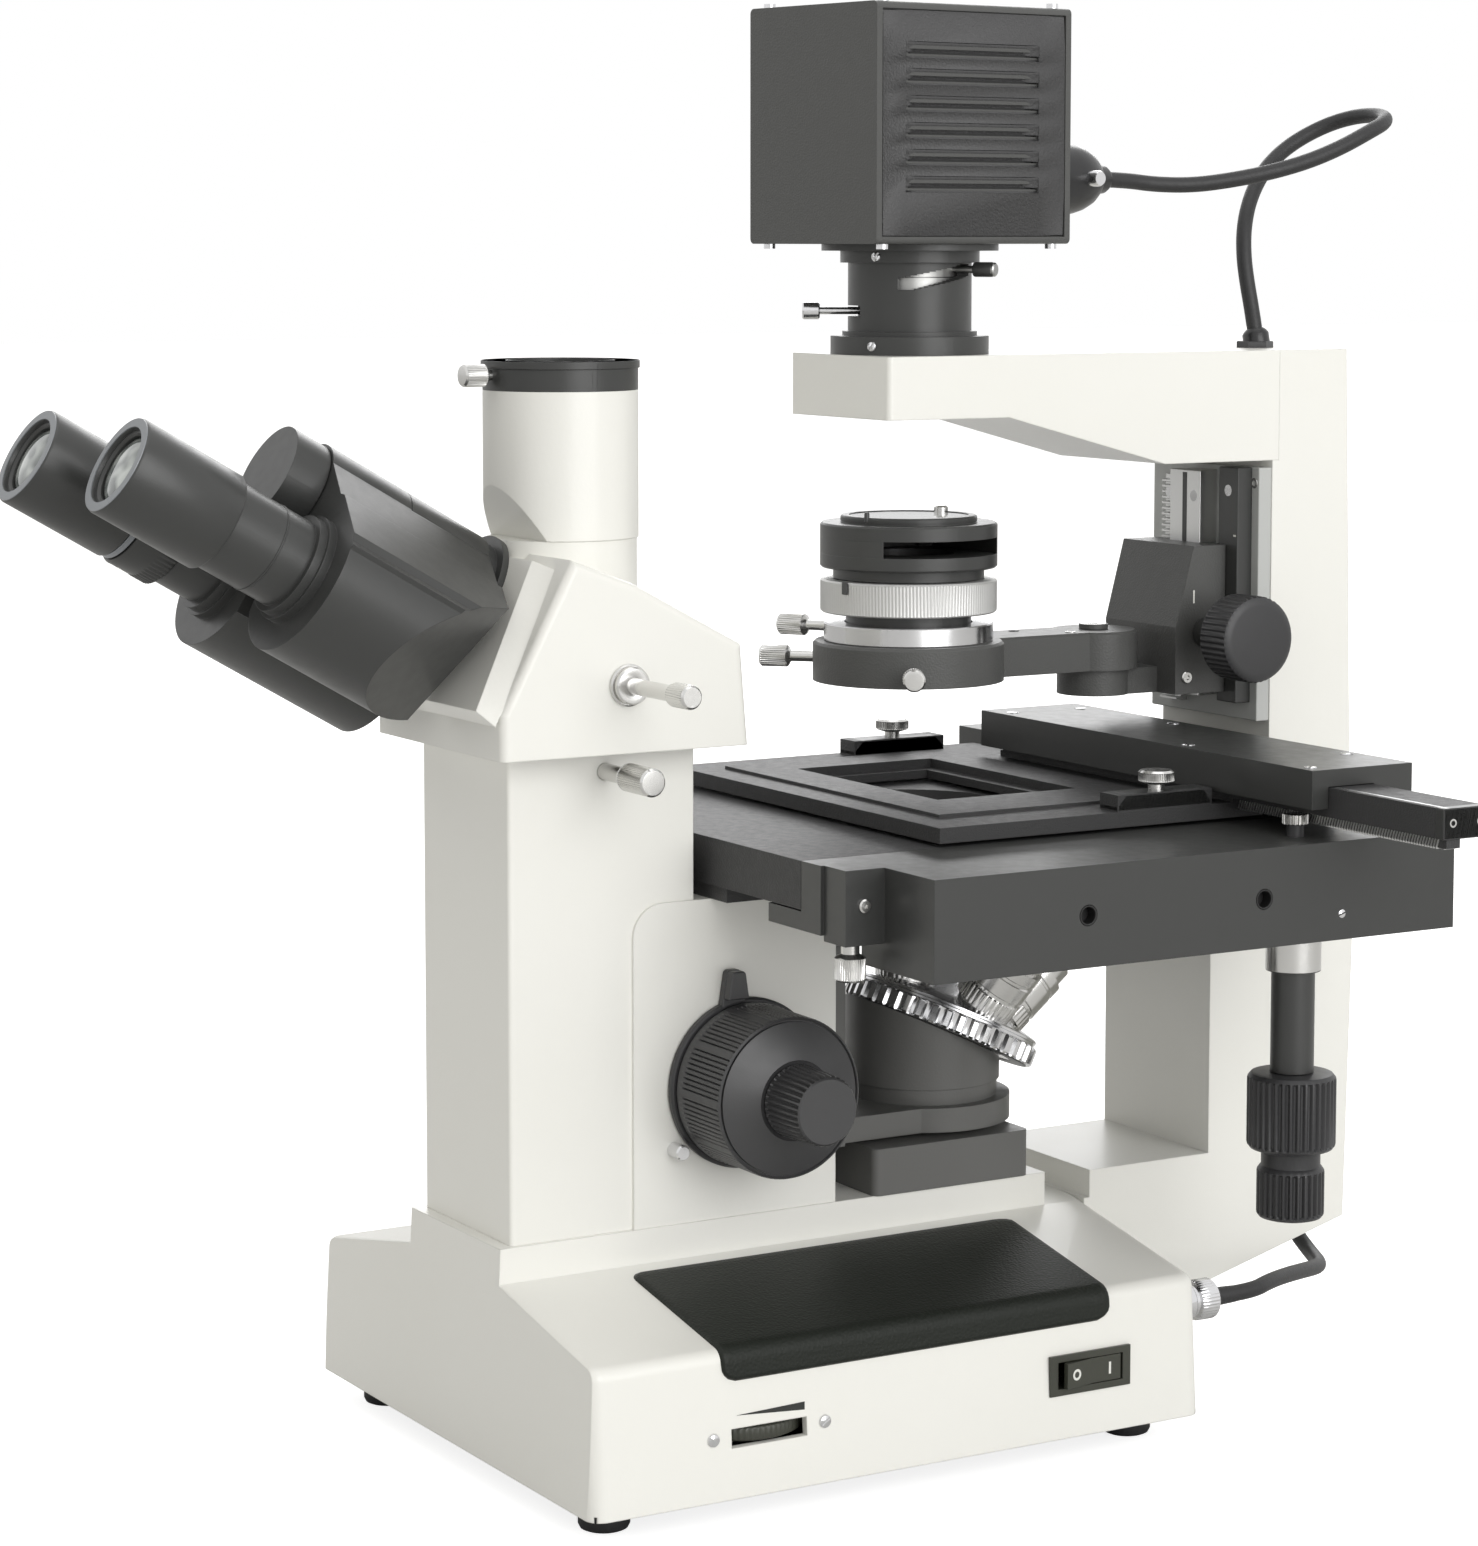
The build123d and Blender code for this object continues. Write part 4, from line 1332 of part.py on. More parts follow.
def frame_screws():
    """Small screws that show on the fixed pieces."""
    screws = dial_screws()
    place = lamp_place()
    for x in (-1, 1):
        for y in (-1, 1):
            place_x = x * (LAMP_HALF_X - 4)
            place_y = y * (LAMP_HALF_Y - 6)
            screws.append(place * round_bar((place_x, place_y, LAMP_Z1), (0, 0, 1), 2.2, 1.8))
            screws.append(place * round_bar((place_x, place_y, LAMP_Z0), (0, 0, -1), 2.2, 1.8))
    return screws + rail_screws()


def save(node, *solids):
    """Write one node, moved from the base frame to the origin of the part."""
    placed = [Pos(-ORIGIN_X, -ORIGIN_Y, 0) * solid for solid in solids]
    export_step(placed[0] if len(placed) == 1 else Compound(children=placed), f"parts/{node}.step")


# The origin is under the middle of the instrument's box
ORIGIN_X = (BAR_RIGHT - GUIDE_OUTER) / 2
left_rim_centre = view_plane(LEFT_RIM, slope=-ARM_DROP - 2)
EYE_FRONT_Y = left_rim_centre.origin.Y - EYEPIECE_RADIUS * math.sin(math.radians(VIEW_TILT))
ORIGIN_Y = (COLUMN_REAR_MIDDLE + EYE_FRONT_Y) / 2

os.makedirs("parts", exist_ok=True)
save("base_housing", base_housing())
save("base_plate", base_plate())
save("feet", *feet())
save("hand_rest_pads", *hand_rest_pads())
save("switch_bezel", switch_bezel())
save("rocker", rocker())
save("brightness_dial", brightness_dial())
save("power_unit", *power_unit())
save("power_inlet", power_inlet())
save("pillar_housing", pillar_housing())
save("focus_covers", *focus_covers())
save("tension_lever", tension_lever())
save("coarse_knobs", coarse_knobs())
save("fine_knobs", fine_knobs())
save("head_housing", *head_housing())
save("light_path_rod", light_path_rod())
save("camera_tube", camera_tube())
save("camera_port", camera_port())
save("camera_clamp_screw", camera_clamp_screw())
save("head_clamp_screw", head_clamp_screw())
save("binocular_mount", binocular_mount())
save("right_ocular", ocular(1, HOUSING_SPLIT + GAP / 2, HOUSING_FRONT, HOUSING_BACK, HOUSING_SPLIT + GAP / 2,
                            RIGHT_RIM - EYEPIECE_LENGTH))
save("left_ocular", ocular(-1, HOUSING_BACK, HOUSING_SPLIT - GAP / 2, HOUSING_SPLIT - GAP / 2, HOUSING_FRONT,
                           LEFT_RIM - EYEPIECE_LENGTH))
save("right_eyepiece", *eyepiece(1, RIGHT_RIM))
save("left_eyepiece", *eyepiece(-1, LEFT_RIM))
save("diopter_ring", diopter_ring())
save("light_box", light_box())
save("relay_optics", *relay_optics())
save("focus_carrier", focus_carrier())
save("turret_ring", turret_ring())
save("objectives", *objectives())
save("stage_plate", *stage_plate())
save("stage_y_carriage", stage_y_carriage())
save("stage_lock_screw", stage_lock_screw())
save("stage_x_carriage", *stage_x_carriage())
for node, place_x in zip(("clip_screw_left", "clip_screw_right"), clip_places()):
    save(node, clip_screw(place_x))
save("y_drive_knob", y_drive_knob())
save("x_drive_knob", x_drive_knob())
save("rear_column", rear_column())
save("upper_arm", upper_arm())
save("condenser_rail", *condenser_rail())
save("condenser_carriage", condenser_carriage())
save("condenser_knob", condenser_knob())
save("condenser_arm", condenser_arm())
save("condenser_body", *condenser_body(), *condenser_head())
save("aperture_ring", aperture_ring())
for node, values in SIDE_SCREWS.items():
    save(node, side_screw(*values))
save("lamp_mount", lamp_mount())
save("field_lever", field_lever())
save("collector_cell", *collector_cell())
save("collector_lever", collector_lever())
save("lamp_housing", lamp_housing())
save("lamp_socket", *lamp_socket())
save("cable_fittings", *cable_fittings())
save("lamp_cable", cord(LAMP_CORD))
save("base_cable", cord(BASE_CORD))
save("frame_screws", *frame_screws())
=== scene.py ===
import math

import bmesh
import bpy
from mathutils import Matrix, Vector


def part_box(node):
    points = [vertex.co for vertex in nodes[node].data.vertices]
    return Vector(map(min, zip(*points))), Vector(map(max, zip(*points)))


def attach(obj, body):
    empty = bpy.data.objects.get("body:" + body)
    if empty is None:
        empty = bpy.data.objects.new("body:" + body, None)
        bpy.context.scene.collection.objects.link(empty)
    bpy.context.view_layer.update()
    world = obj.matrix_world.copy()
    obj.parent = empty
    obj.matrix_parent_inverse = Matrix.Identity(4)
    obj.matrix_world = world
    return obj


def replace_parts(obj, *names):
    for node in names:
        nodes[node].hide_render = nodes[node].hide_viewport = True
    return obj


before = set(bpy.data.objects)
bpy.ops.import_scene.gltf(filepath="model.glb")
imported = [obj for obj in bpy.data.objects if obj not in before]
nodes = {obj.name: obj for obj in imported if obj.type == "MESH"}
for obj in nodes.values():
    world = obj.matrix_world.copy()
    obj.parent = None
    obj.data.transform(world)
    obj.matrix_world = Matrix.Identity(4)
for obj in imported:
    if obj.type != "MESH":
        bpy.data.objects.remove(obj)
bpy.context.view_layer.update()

scene = bpy.context.scene

# Camera: stands to the right of the eyepieces, a little below the lamp, and looks slightly down.
# Places are given in millimetres from the front edge of the base, as the instrument is laid out.
base_low, base_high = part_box("base_housing")
MIDDLE = Vector(((base_low.x + base_high.x) / 2, base_low.y, 0))


def spot(x, y, z):
    """A point of the layout in the row frame."""
    return MIDDLE + Vector((x, y, z)) / 1000


camera_data = bpy.data.cameras.new("camera")
camera_data.sensor_width = 36
camera_data.lens = 3995.4 / 1546 * 36
camera_data.shift_y = -0.0969
camera_data.clip_end = 60
camera = bpy.data.objects.new("camera", camera_data)
scene.collection.objects.link(camera)
pitch = math.radians(5.57)
level = Vector((-0.8634, 0.5045, 0)).normalized()
looking = level * math.cos(pitch) - Vector((0, 0, 1)) * math.sin(pitch)
camera.location = spot(1255.7, -613.1, 439.5)
camera.rotation_euler = looking.to_track_quat("-Z", "Y").to_euler()
scene.camera = camera


# Cords: a black rubber lead of 6 mm from the lamp house to the gland on the arm, and one like it from the
# base to the tail of the column. Both are moulded flex, stiff enough to hold their curve.
class Tone:
    """A value or colour inside a finish; arithmetic on it adds the nodes."""

    def __init__(self, finish, socket):
        self.finish = finish
        self.socket = socket

    def combine(self, operation, first, second):
        return self.finish.node("ShaderNodeMath", {"operation": operation}, {0: first, 1: second})

    def __add__(self, other):
        return self.combine("ADD", self, other)

    def __radd__(self, other):
        return self.combine("ADD", other, self)

    def __sub__(self, other):
        return self.combine("SUBTRACT", self, other)

    def __rsub__(self, other):
        return self.combine("SUBTRACT", other, self)

    def __mul__(self, other):
        return self.combine("MULTIPLY", self, other)

    def __rmul__(self, other):
        return self.combine("MULTIPLY", other, self)

    def above(self, limit):
        return self.combine("GREATER_THAN", self, limit)


class Finish:
    """A procedural finish: one Principled surface and the nodes that feed it."""

    def __init__(self, name, color, roughness, metallic=0.0, coat=0.0, shine=0.5):
        self.material = bpy.data.materials.new(name)
        self.material.use_nodes = True
        self.tree = self.material.node_tree
        self.surface = self.tree.nodes["Principled BSDF"]
        self.surface.inputs["Base Color"].default_value = (*color, 1)
        self.surface.inputs["Roughness"].default_value = roughness
        self.surface.inputs["Metallic"].default_value = metallic
        self.surface.inputs["Coat Weight"].default_value = coat
        self.surface.inputs["Specular IOR Level"].default_value = shine
        self.place = self.node("ShaderNodeTexCoord", {}, {}, "Object")

    def node(self, kind, settings, values, output=0):
        made = self.tree.nodes.new(kind)
        for key, value in settings.items():
            if key == "stops":
                made.color_ramp.elements[1].position = value[1][0]
                made.color_ramp.elements[0].position = value[0][0]
                for element, (_, shade) in zip(made.color_ramp.elements, value):
                    element.color = (shade, shade, shade, 1)
            else:
                setattr(made, key, value)
        for key, value in values.items():
            if isinstance(value, Tone):
                self.tree.links.new(value.socket, made.inputs[key])
            else:
                made.inputs[key].default_value = value
        return Tone(self, made.outputs[output])

    def noise(self, per_metre, detail=2.0, roughness=0.5):
        return self.node("ShaderNodeTexNoise", {},
                         {"Vector": self.place, "Scale": per_metre, "Detail": detail, "Roughness": roughness})

    def grains(self, per_metre):
        return self.node("ShaderNodeTexVoronoi", {"feature": "F1"}, {"Vector": self.place, "Scale": per_metre})

    def blend(self, share, first, second):
        return self.node("ShaderNodeMix", {"data_type": "RGBA"},
                         {0: share, 6: (*first, 1), 7: (*second, 1)}, 2)

    def ramp(self, value, low, high):
        return self.node("ShaderNodeValToRGB", {"stops": [(low, 0.0), (high, 1.0)]}, {0: value})

    def feed(self, socket, value):
        self.tree.links.new(value.socket, self.surface.inputs[socket])

    def relief(self, height, depth_mm, edge_mm=0.0):
        values = {"Strength": 1.0, "Distance": depth_mm / 1000, "Height": height}
        if edge_mm:
            values["Normal"] = self.node("ShaderNodeBevel", {"samples": 4}, {"Radius": edge_mm / 1000})
        self.feed("Normal", self.node("ShaderNodeBump", {}, values))


rubber = Finish("black_rubber", (0.018, 0.018, 0.019), 0.5)
rubber_noise = rubber.noise(900)
rubber.relief(rubber_noise, 0.08)
rubber.feed("Roughness", rubber_noise * 0.2 + 0.4)


def lead(name, points, node):
    """A flexible lead on the route of its CAD tube."""
    curve = bpy.data.curves.new(name, "CURVE")
    curve.dimensions = "3D"
    curve.bevel_depth = 0.003
    curve.bevel_resolution = 8
    curve.resolution_u = 24
    curve.use_fill_caps = True
    line = curve.splines.new("NURBS")
    line.points.add(len(points) - 1)
    for point, place in zip(line.points, points):
        point.co = (*spot(*place), 1)
    line.order_u = 3
    line.use_endpoint_u = True
    made = bpy.data.objects.new(name, curve)
    scene.collection.objects.link(made)
    curve.materials.append(rubber.material)
    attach(made, "frame")
    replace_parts(made, node)


lead("lamp_lead", [
    (6.6, 275.4, 460.0), (4.9, 288.3, 459.8), (6.0, 302.0, 458.2), (11.0, 316.5, 458.0),
    (16.5, 331.5, 460.1), (21.5, 346.5, 463.2), (25.0, 361.5, 467.4), (27.0, 376.0, 473.0),
    (26.5, 389.5, 479.0), (22.0, 400.5, 482.6), (13.6, 408.0, 485.0), (2.8, 410.8, 486.4),
    (-8.2, 408.8, 485.8), (-17.0, 402.0, 482.5), (-21.8, 390.5, 476.0), (-21.5, 379.0, 468.3),
    (-17.5, 369.0, 460.0), (-12.5, 360.8, 450.9), (-8.0, 355.3, 441.0), (-4.5, 352.8, 430.5),
    (-1.5, 352.3, 420.3), (0.6, 353.0, 410.6), (1.8, 354.0, 401.0),
], "lamp_cable")
lead("base_lead", [
    (92.0, 277.0, 47.0), (92.0, 289.0, 47.0), (86.0, 301.0, 47.4), (76.0, 317.0, 45.4),
    (63.5, 335.5, 42.0), (49.5, 353.5, 37.8), (35.5, 365.5, 34.8), (22.5, 371.3, 35.3),
    (11.4, 372.3, 41.0), (4.6, 370.4, 49.6),
], "base_cable")


# Studio: a pale floor that keeps the shadow, a white surround, and three large soft lamps.
world = bpy.data.worlds.new("studio")
scene.world = world
world.use_nodes = True
world_tree = world.node_tree
background = world_tree.nodes["Background"]
seen = world_tree.nodes.new("ShaderNodeLightPath")
seen_share = seen.outputs["Is Camera Ray"]
for ray in ("Is Glossy Ray", "Is Transmission Ray"):
    either = world_tree.nodes.new("ShaderNodeMath")
    either.operation = "MAXIMUM"
    world_tree.links.new(seen_share, either.inputs[0])
    world_tree.links.new(seen.outputs[ray], either.inputs[1])
    seen_share = either.outputs[0]
level_of = world_tree.nodes.new("ShaderNodeMapRange")
level_of.inputs["To Min"].default_value = 0.58
level_of.inputs["To Max"].default_value = 1.0
world_tree.links.new(seen_share, level_of.inputs["Value"])
world_tree.links.new(level_of.outputs[0], background.inputs["Strength"])
surround = world_tree.nodes.new("ShaderNodeMix")
surround.data_type = "RGBA"
surround.inputs[6].default_value = (1.0, 0.983, 0.93, 1)
surround.inputs[7].default_value = (1, 1, 1, 1)
world_tree.links.new(seen_share, surround.inputs[0])
world_tree.links.new(surround.outputs[2], background.inputs["Color"])

floor_mesh = bpy.data.meshes.new("floor")
floor_mesh.from_pydata([(-14, -14, 0), (14, -14, 0), (14, 14, 0), (-14, 14, 0)], [], [(0, 1, 2, 3)])
floor = bpy.data.objects.new("floor", floor_mesh)
scene.collection.objects.link(floor)
floor_finish = Finish("pale_floor", (0.72, 0.72, 0.72), 0.9)
floor_ray = floor_finish.node("ShaderNodeLightPath", {}, {}, "Is Camera Ray")
floor_finish.surface.inputs["Emission Color"].default_value = (1, 1, 1, 1)
floor_finish.tree.links.new((floor_ray * 0.8).socket, floor_finish.surface.inputs["Emission Strength"])
floor_mesh.materials.append(floor_finish.material)


def soft_lamp(name, place, size, power):
    """A square softbox aimed at the middle of the instrument."""
    data = bpy.data.lights.new(name, "AREA")
    data.shape = "SQUARE"
    data.size = size
    data.energy = power
    made = bpy.data.objects.new(name, data)
    made.location = place
    made.rotation_euler = (Vector((0, 0, 0.25)) - Vector(place)).to_track_quat("-Z", "Y").to_euler()
    scene.collection.objects.link(made)


soft_lamp("key_lamp", (3.0, 0.3, 1.2), 2.4, 55)
soft_lamp("front_lamp", (-0.6, -2.6, 1.6), 1.6, 3)
soft_lamp("top_lamp", (0.3, 0.2, 3.0), 2.0, 9)
soft_lamp("back_lamp", (-2.2, 1.4, 1.6), 1.8, 26)
scene.view_settings.view_transform = "Standard"


# Enamelled castings: base, pillar, head, camera tube, column and arm. Die-cast and sheet metal with a baked
# warm white enamel, whose surface is faintly wavy; the edges are rounded by the coat.
enamel = Finish("white_enamel", (0.86, 0.857, 0.82), 0.34, coat=0.15)
enamel.feed("Base Color", enamel.blend(enamel.noise(14, 3), (0.87, 0.867, 0.832), (0.85, 0.845, 0.80)))
enamel_skin = enamel.noise(420, 2)
enamel.feed("Roughness", enamel.noise(60) * 0.1 + 0.3)
enamel.relief(enamel_skin, 0.05, 0.7)


def coat(finish, *names):
    """Give CAD nodes their finish."""
    for name in names:
        slots = nodes[name].data.materials
        slots.clear()
        slots.append(finish.material)


coat(enamel, "base_housing", "pillar_housing", "focus_covers", "head_housing", "camera_tube", "rear_column",
     "upper_arm")

# Black powder-coated, satin and anodised parts: stage, lamp house, condenser carrier and prism housings. The
# powder coat is a fine even grain, the satin castings are a little greyer, the anodised parts are smoother.
powder = Finish("black_powder_coat", (0.046, 0.046, 0.047), 0.5, shine=0.28)
powder_grain = powder.grains(1500)
powder.feed("Roughness", powder.noise(300) * 0.2 + 0.40)
powder.relief(powder_grain, 0.10, 0.4)
satin_black = Finish("satin_black", (0.084, 0.085, 0.083), 0.42, shine=0.4)
satin_black.feed("Roughness", satin_black.noise(260, 3) * 0.18 + 0.34)
satin_black.relief(satin_black.grains(1300), 0.07, 0.4)
anodised = Finish("black_anodised", (0.042, 0.043, 0.042), 0.36, shine=0.5)
anodised.feed("Roughness", anodised.noise(220, 3) * 0.14 + 0.28)
anodised.relief(anodised.noise(2600, 2), 0.02, 0.35)
coat(powder, "base_plate", "stage_plate", "stage_x_carriage")
cast_grey = Finish("cast_grey", (0.135, 0.135, 0.13), 0.42, shine=0.4)
cast_grey.feed("Roughness", cast_grey.noise(180, 3) * 0.2 + 0.30)
cast_grey.relief(cast_grey.noise(1200, 2), 0.05, 0.5)
coat(satin_black, "lamp_housing", "condenser_arm", "condenser_carriage")
coat(cast_grey, "light_box", "focus_carrier")
coat(anodised, "stage_y_carriage", "lamp_mount", "condenser_body", "right_ocular", "left_ocular",
     "right_eyepiece", "left_eyepiece", "diopter_ring", "camera_port", "binocular_mount")

# Moulded plastic, chromed and bare metal parts.
moulded = Finish("dark_moulded_plastic", (0.032, 0.032, 0.034), 0.42)
moulded_skin = moulded.noise(1400, 2)
moulded.relief(moulded_skin, 0.03, 0.3)
moulded.feed("Roughness", moulded.noise(150) * 0.15 + 0.34)
coat(moulded, "switch_bezel", "rocker", "brightness_dial", "power_inlet", "tension_lever", "coarse_knobs",
     "fine_knobs", "y_drive_knob", "x_drive_knob", "condenser_knob")
chrome = Finish("chrome_plate", (0.72, 0.72, 0.73), 0.16, metallic=1.0)
chrome.feed("Roughness", chrome.noise(500) * 0.12 + 0.12)
coat(chrome, "light_path_rod", "camera_clamp_screw", "head_clamp_screw", "turret_ring", "objectives",
     "stage_lock_screw", "clip_screw_left", "clip_screw_right", "condenser_clamp_screw", "centring_screw_left",
     "centring_screw_right", "field_lever", "collector_lever", "lamp_socket", "frame_screws")
aluminium = Finish("brushed_aluminium", (0.62, 0.62, 0.61), 0.32, metallic=1.0)
aluminium.feed("Roughness", aluminium.noise(700) * 0.2 + 0.25)
coat(aluminium, "condenser_rail", "aperture_ring", "collector_cell")
pad_skin = Finish("hand_rest_plastic", (0.012, 0.0145, 0.011), 0.5, shine=0.25)
pad_grain = pad_skin.grains(900)
pad_skin.relief(pad_grain, 0.12, 0.5)
coat(pad_skin, "hand_rest_pads")
coat(rubber, "feet", "cable_fittings")
coat(powder, "power_unit")
glass = Finish("lens_glass", (0.9, 0.95, 0.95), 0.03)
glass.surface.inputs["Transmission Weight"].default_value = 1.0
glass.surface.inputs["IOR"].default_value = 1.5
coat(glass, "relay_optics")

# Base: enamelled cover on four turned rubber feet, with the rocker switch and the dial slot in its right side.
def build(name, mesh, finish, body, edge=0.0, smooth=35):
    """Hang a mesh on a body with its finish; an edge in millimetres rounds its corners."""
    made = bpy.data.objects.new(name, mesh)
    scene.collection.objects.link(made)
    mesh.materials.append(finish.material)
    mesh.polygons.foreach_set("use_smooth", [True] * len(mesh.polygons))
    mesh.set_sharp_from_angle(angle=math.radians(smooth))
    if edge:
        rounding = made.modifiers.new("rounded_edges", "BEVEL")
        rounding.width = edge / 1000
        rounding.segments = 2
        rounding.limit_method = "ANGLE"
        rounding.angle_limit = math.radians(smooth)
        rounding.harden_normals = True
    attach(made, body)
    return made


def basis(along):
    """Two directions across an axis."""
    along = Vector(along).normalized()
    across = along.cross(Vector((0, 0, 1)))
    if across.length < 0.01:
        across = Vector((1, 0, 0))
    across.normalize()
    return along, across, along.cross(across)


def turned_mesh(name, outline, start, along, steps=72, ribs=0, pattern=()):
    """Revolve rows of (radius, height) about an axis; rows marked with a third value carry the rib pattern."""
    axis, across, third = basis(along)
    start = spot(*start)
    if ribs:
        steps = ribs * len(pattern)
    shape = bmesh.new()
    rings = []
    for row in outline:
        ring = []
        for step in range(steps):
            angle = 2 * math.pi * step / steps
            radius = row[0]
            if len(row) > 2:
                radius += pattern[step % len(pattern)] * row[2]
            offset = across * math.cos(angle) + third * math.sin(angle)
            ring.append(shape.verts.new(start + (offset * radius + axis * row[1]) / 1000))
        rings.append(ring)
    closed = outline[0][0] > 0 and outline[-1][0] > 0
    for low, high in zip(rings, rings[1:] + rings[:1] if closed else rings[1:]):
        for step in range(steps):
            after = (step + 1) % steps
            shape.faces.new((low[step], low[after], high[after], high[step]))
    bmesh.ops.remove_doubles(shape, verts=shape.verts, dist=1e-7)
    bmesh.ops.recalc_face_normals(shape, faces=shape.faces)
    mesh = bpy.data.meshes.new(name)
    shape.to_mesh(mesh)
    shape.free()
    return mesh


def turned(name, outline, start, along, finish, body, steps=72, ribs=0, pattern=(), edge=0.0, smooth=35):
    """A turned piece."""
    return build(name, turned_mesh(name, outline, start, along, steps, ribs, pattern), finish, body, edge, smooth)


def cut_mesh(name, outlines, axis, low, high, lean=(0, 0)):
    """Extrude flat outlines from low to high along X, Y or Z; lean shears the far face."""
    order = {"X": (1, 2, 0), "Y": (0, 2, 1), "Z": (0, 1, 2)}[axis]
    shape = bmesh.new()
    for outline in outlines:
        faces = []
        for depth, shift in ((low, (0, 0)), (high, lean)):
            corners = []
            for point in outline:
                place = [0, 0, 0]
                place[order[0]] = point[0] + shift[0]
                place[order[1]] = point[1] + shift[1]
                place[order[2]] = depth
                corners.append(shape.verts.new(spot(*place)))
            faces.append(corners)
            shape.faces.new(corners)
        count = len(outline)
        for step in range(count):
            after = (step + 1) % count
            shape.faces.new((faces[0][step], faces[0][after], faces[1][after], faces[1][step]))
    bmesh.ops.recalc_face_normals(shape, faces=shape.faces)
    mesh = bpy.data.meshes.new(name)
    shape.to_mesh(mesh)
    shape.free()
    return mesh


def cut(name, outlines, axis, low, high, finish, body, edge=0.0, lean=(0, 0)):
    """A piece cut from plate or bar."""
    return build(name, cut_mesh(name, outlines, axis, low, high, lean), finish, body, edge)


def rectangle(a0, a1, b0, b1):
    return [(a0, b0), (a1, b0), (a1, b1), (a0, b1)]


def arc(a, b, radius, start, end, steps=24):
    """Points of an arc, degrees."""
    return [(a + radius * math.cos(math.radians(start + (end - start) * step / steps)),
             b + radius * math.sin(math.radians(start + (end - start) * step / steps))) for step in range(steps + 1)]


def slotted_screw(name, place, along, radius, height, body, turn=0.4):
    """A small slotted screw: a low disc with two half heads beside the slot."""
    axis, across, third = basis(along)
    slit = radius * 0.16
    shape = bmesh.new()
    for side in (1, -1):
        rim = []
        start = math.asin(slit / radius)
        for step in range(15):
            angle = start + (math.pi - 2 * start) * step / 14
            rim.append((radius * math.cos(angle), side * radius * math.sin(angle)))
        for low, high, outline in ((0.0, height, rim),):
            made = []
            for level, shrink in ((low, 1.0), (high * 0.7, 1.0), (high, 0.86)):
                ring = []
                for a, b in outline:
                    b = side * slit + (b - side * slit) * shrink
                    u, v = a * shrink * math.cos(turn) - b * math.sin(turn), a * shrink * math.sin(turn) + b * math.cos(turn)
                    ring.append(shape.verts.new(spot(*place) + (across * u + third * v + axis * level) / 1000))
                made.append(ring)
            for low_ring, high_ring in zip(made, made[1:]):
                for step in range(len(rim)):
                    after = (step + 1) % len(rim)
                    shape.faces.new((low_ring[step], low_ring[after], high_ring[after], high_ring[step]))
            shape.faces.new(made[0])
            shape.faces.new(made[-1])
    bmesh.ops.recalc_face_normals(shape, faces=shape.faces)
    mesh = bpy.data.meshes.new(name)
    shape.to_mesh(mesh)
    shape.free()
    head = build(name, mesh, chrome, body, 0.0, 50)
    turned(name + "_seat", [(0, height * 0.35), (radius, height * 0.35), (radius, 0), (0, 0)], place, along, chrome,
           body, 28)
    return head


for index, (x, y) in enumerate([(86, 17), (-86, 17), (86, 235.5), (-86, 235.5)]):
    foot = turned(f"foot_{index}", [(0, 0), (7.2, 0), (8.3, 0.5), (9, 1.9), (9, 8.6), (8.4, 10), (0, 10)],
                  (x, y, 0), (0, 0, 1), rubber, "frame", 48)
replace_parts(foot, "feet")


# Hand rests: thin moulded pads with a leather-like grain, bonded on both shoulders and bent down over the edge.
PAD_RISE = 1.4


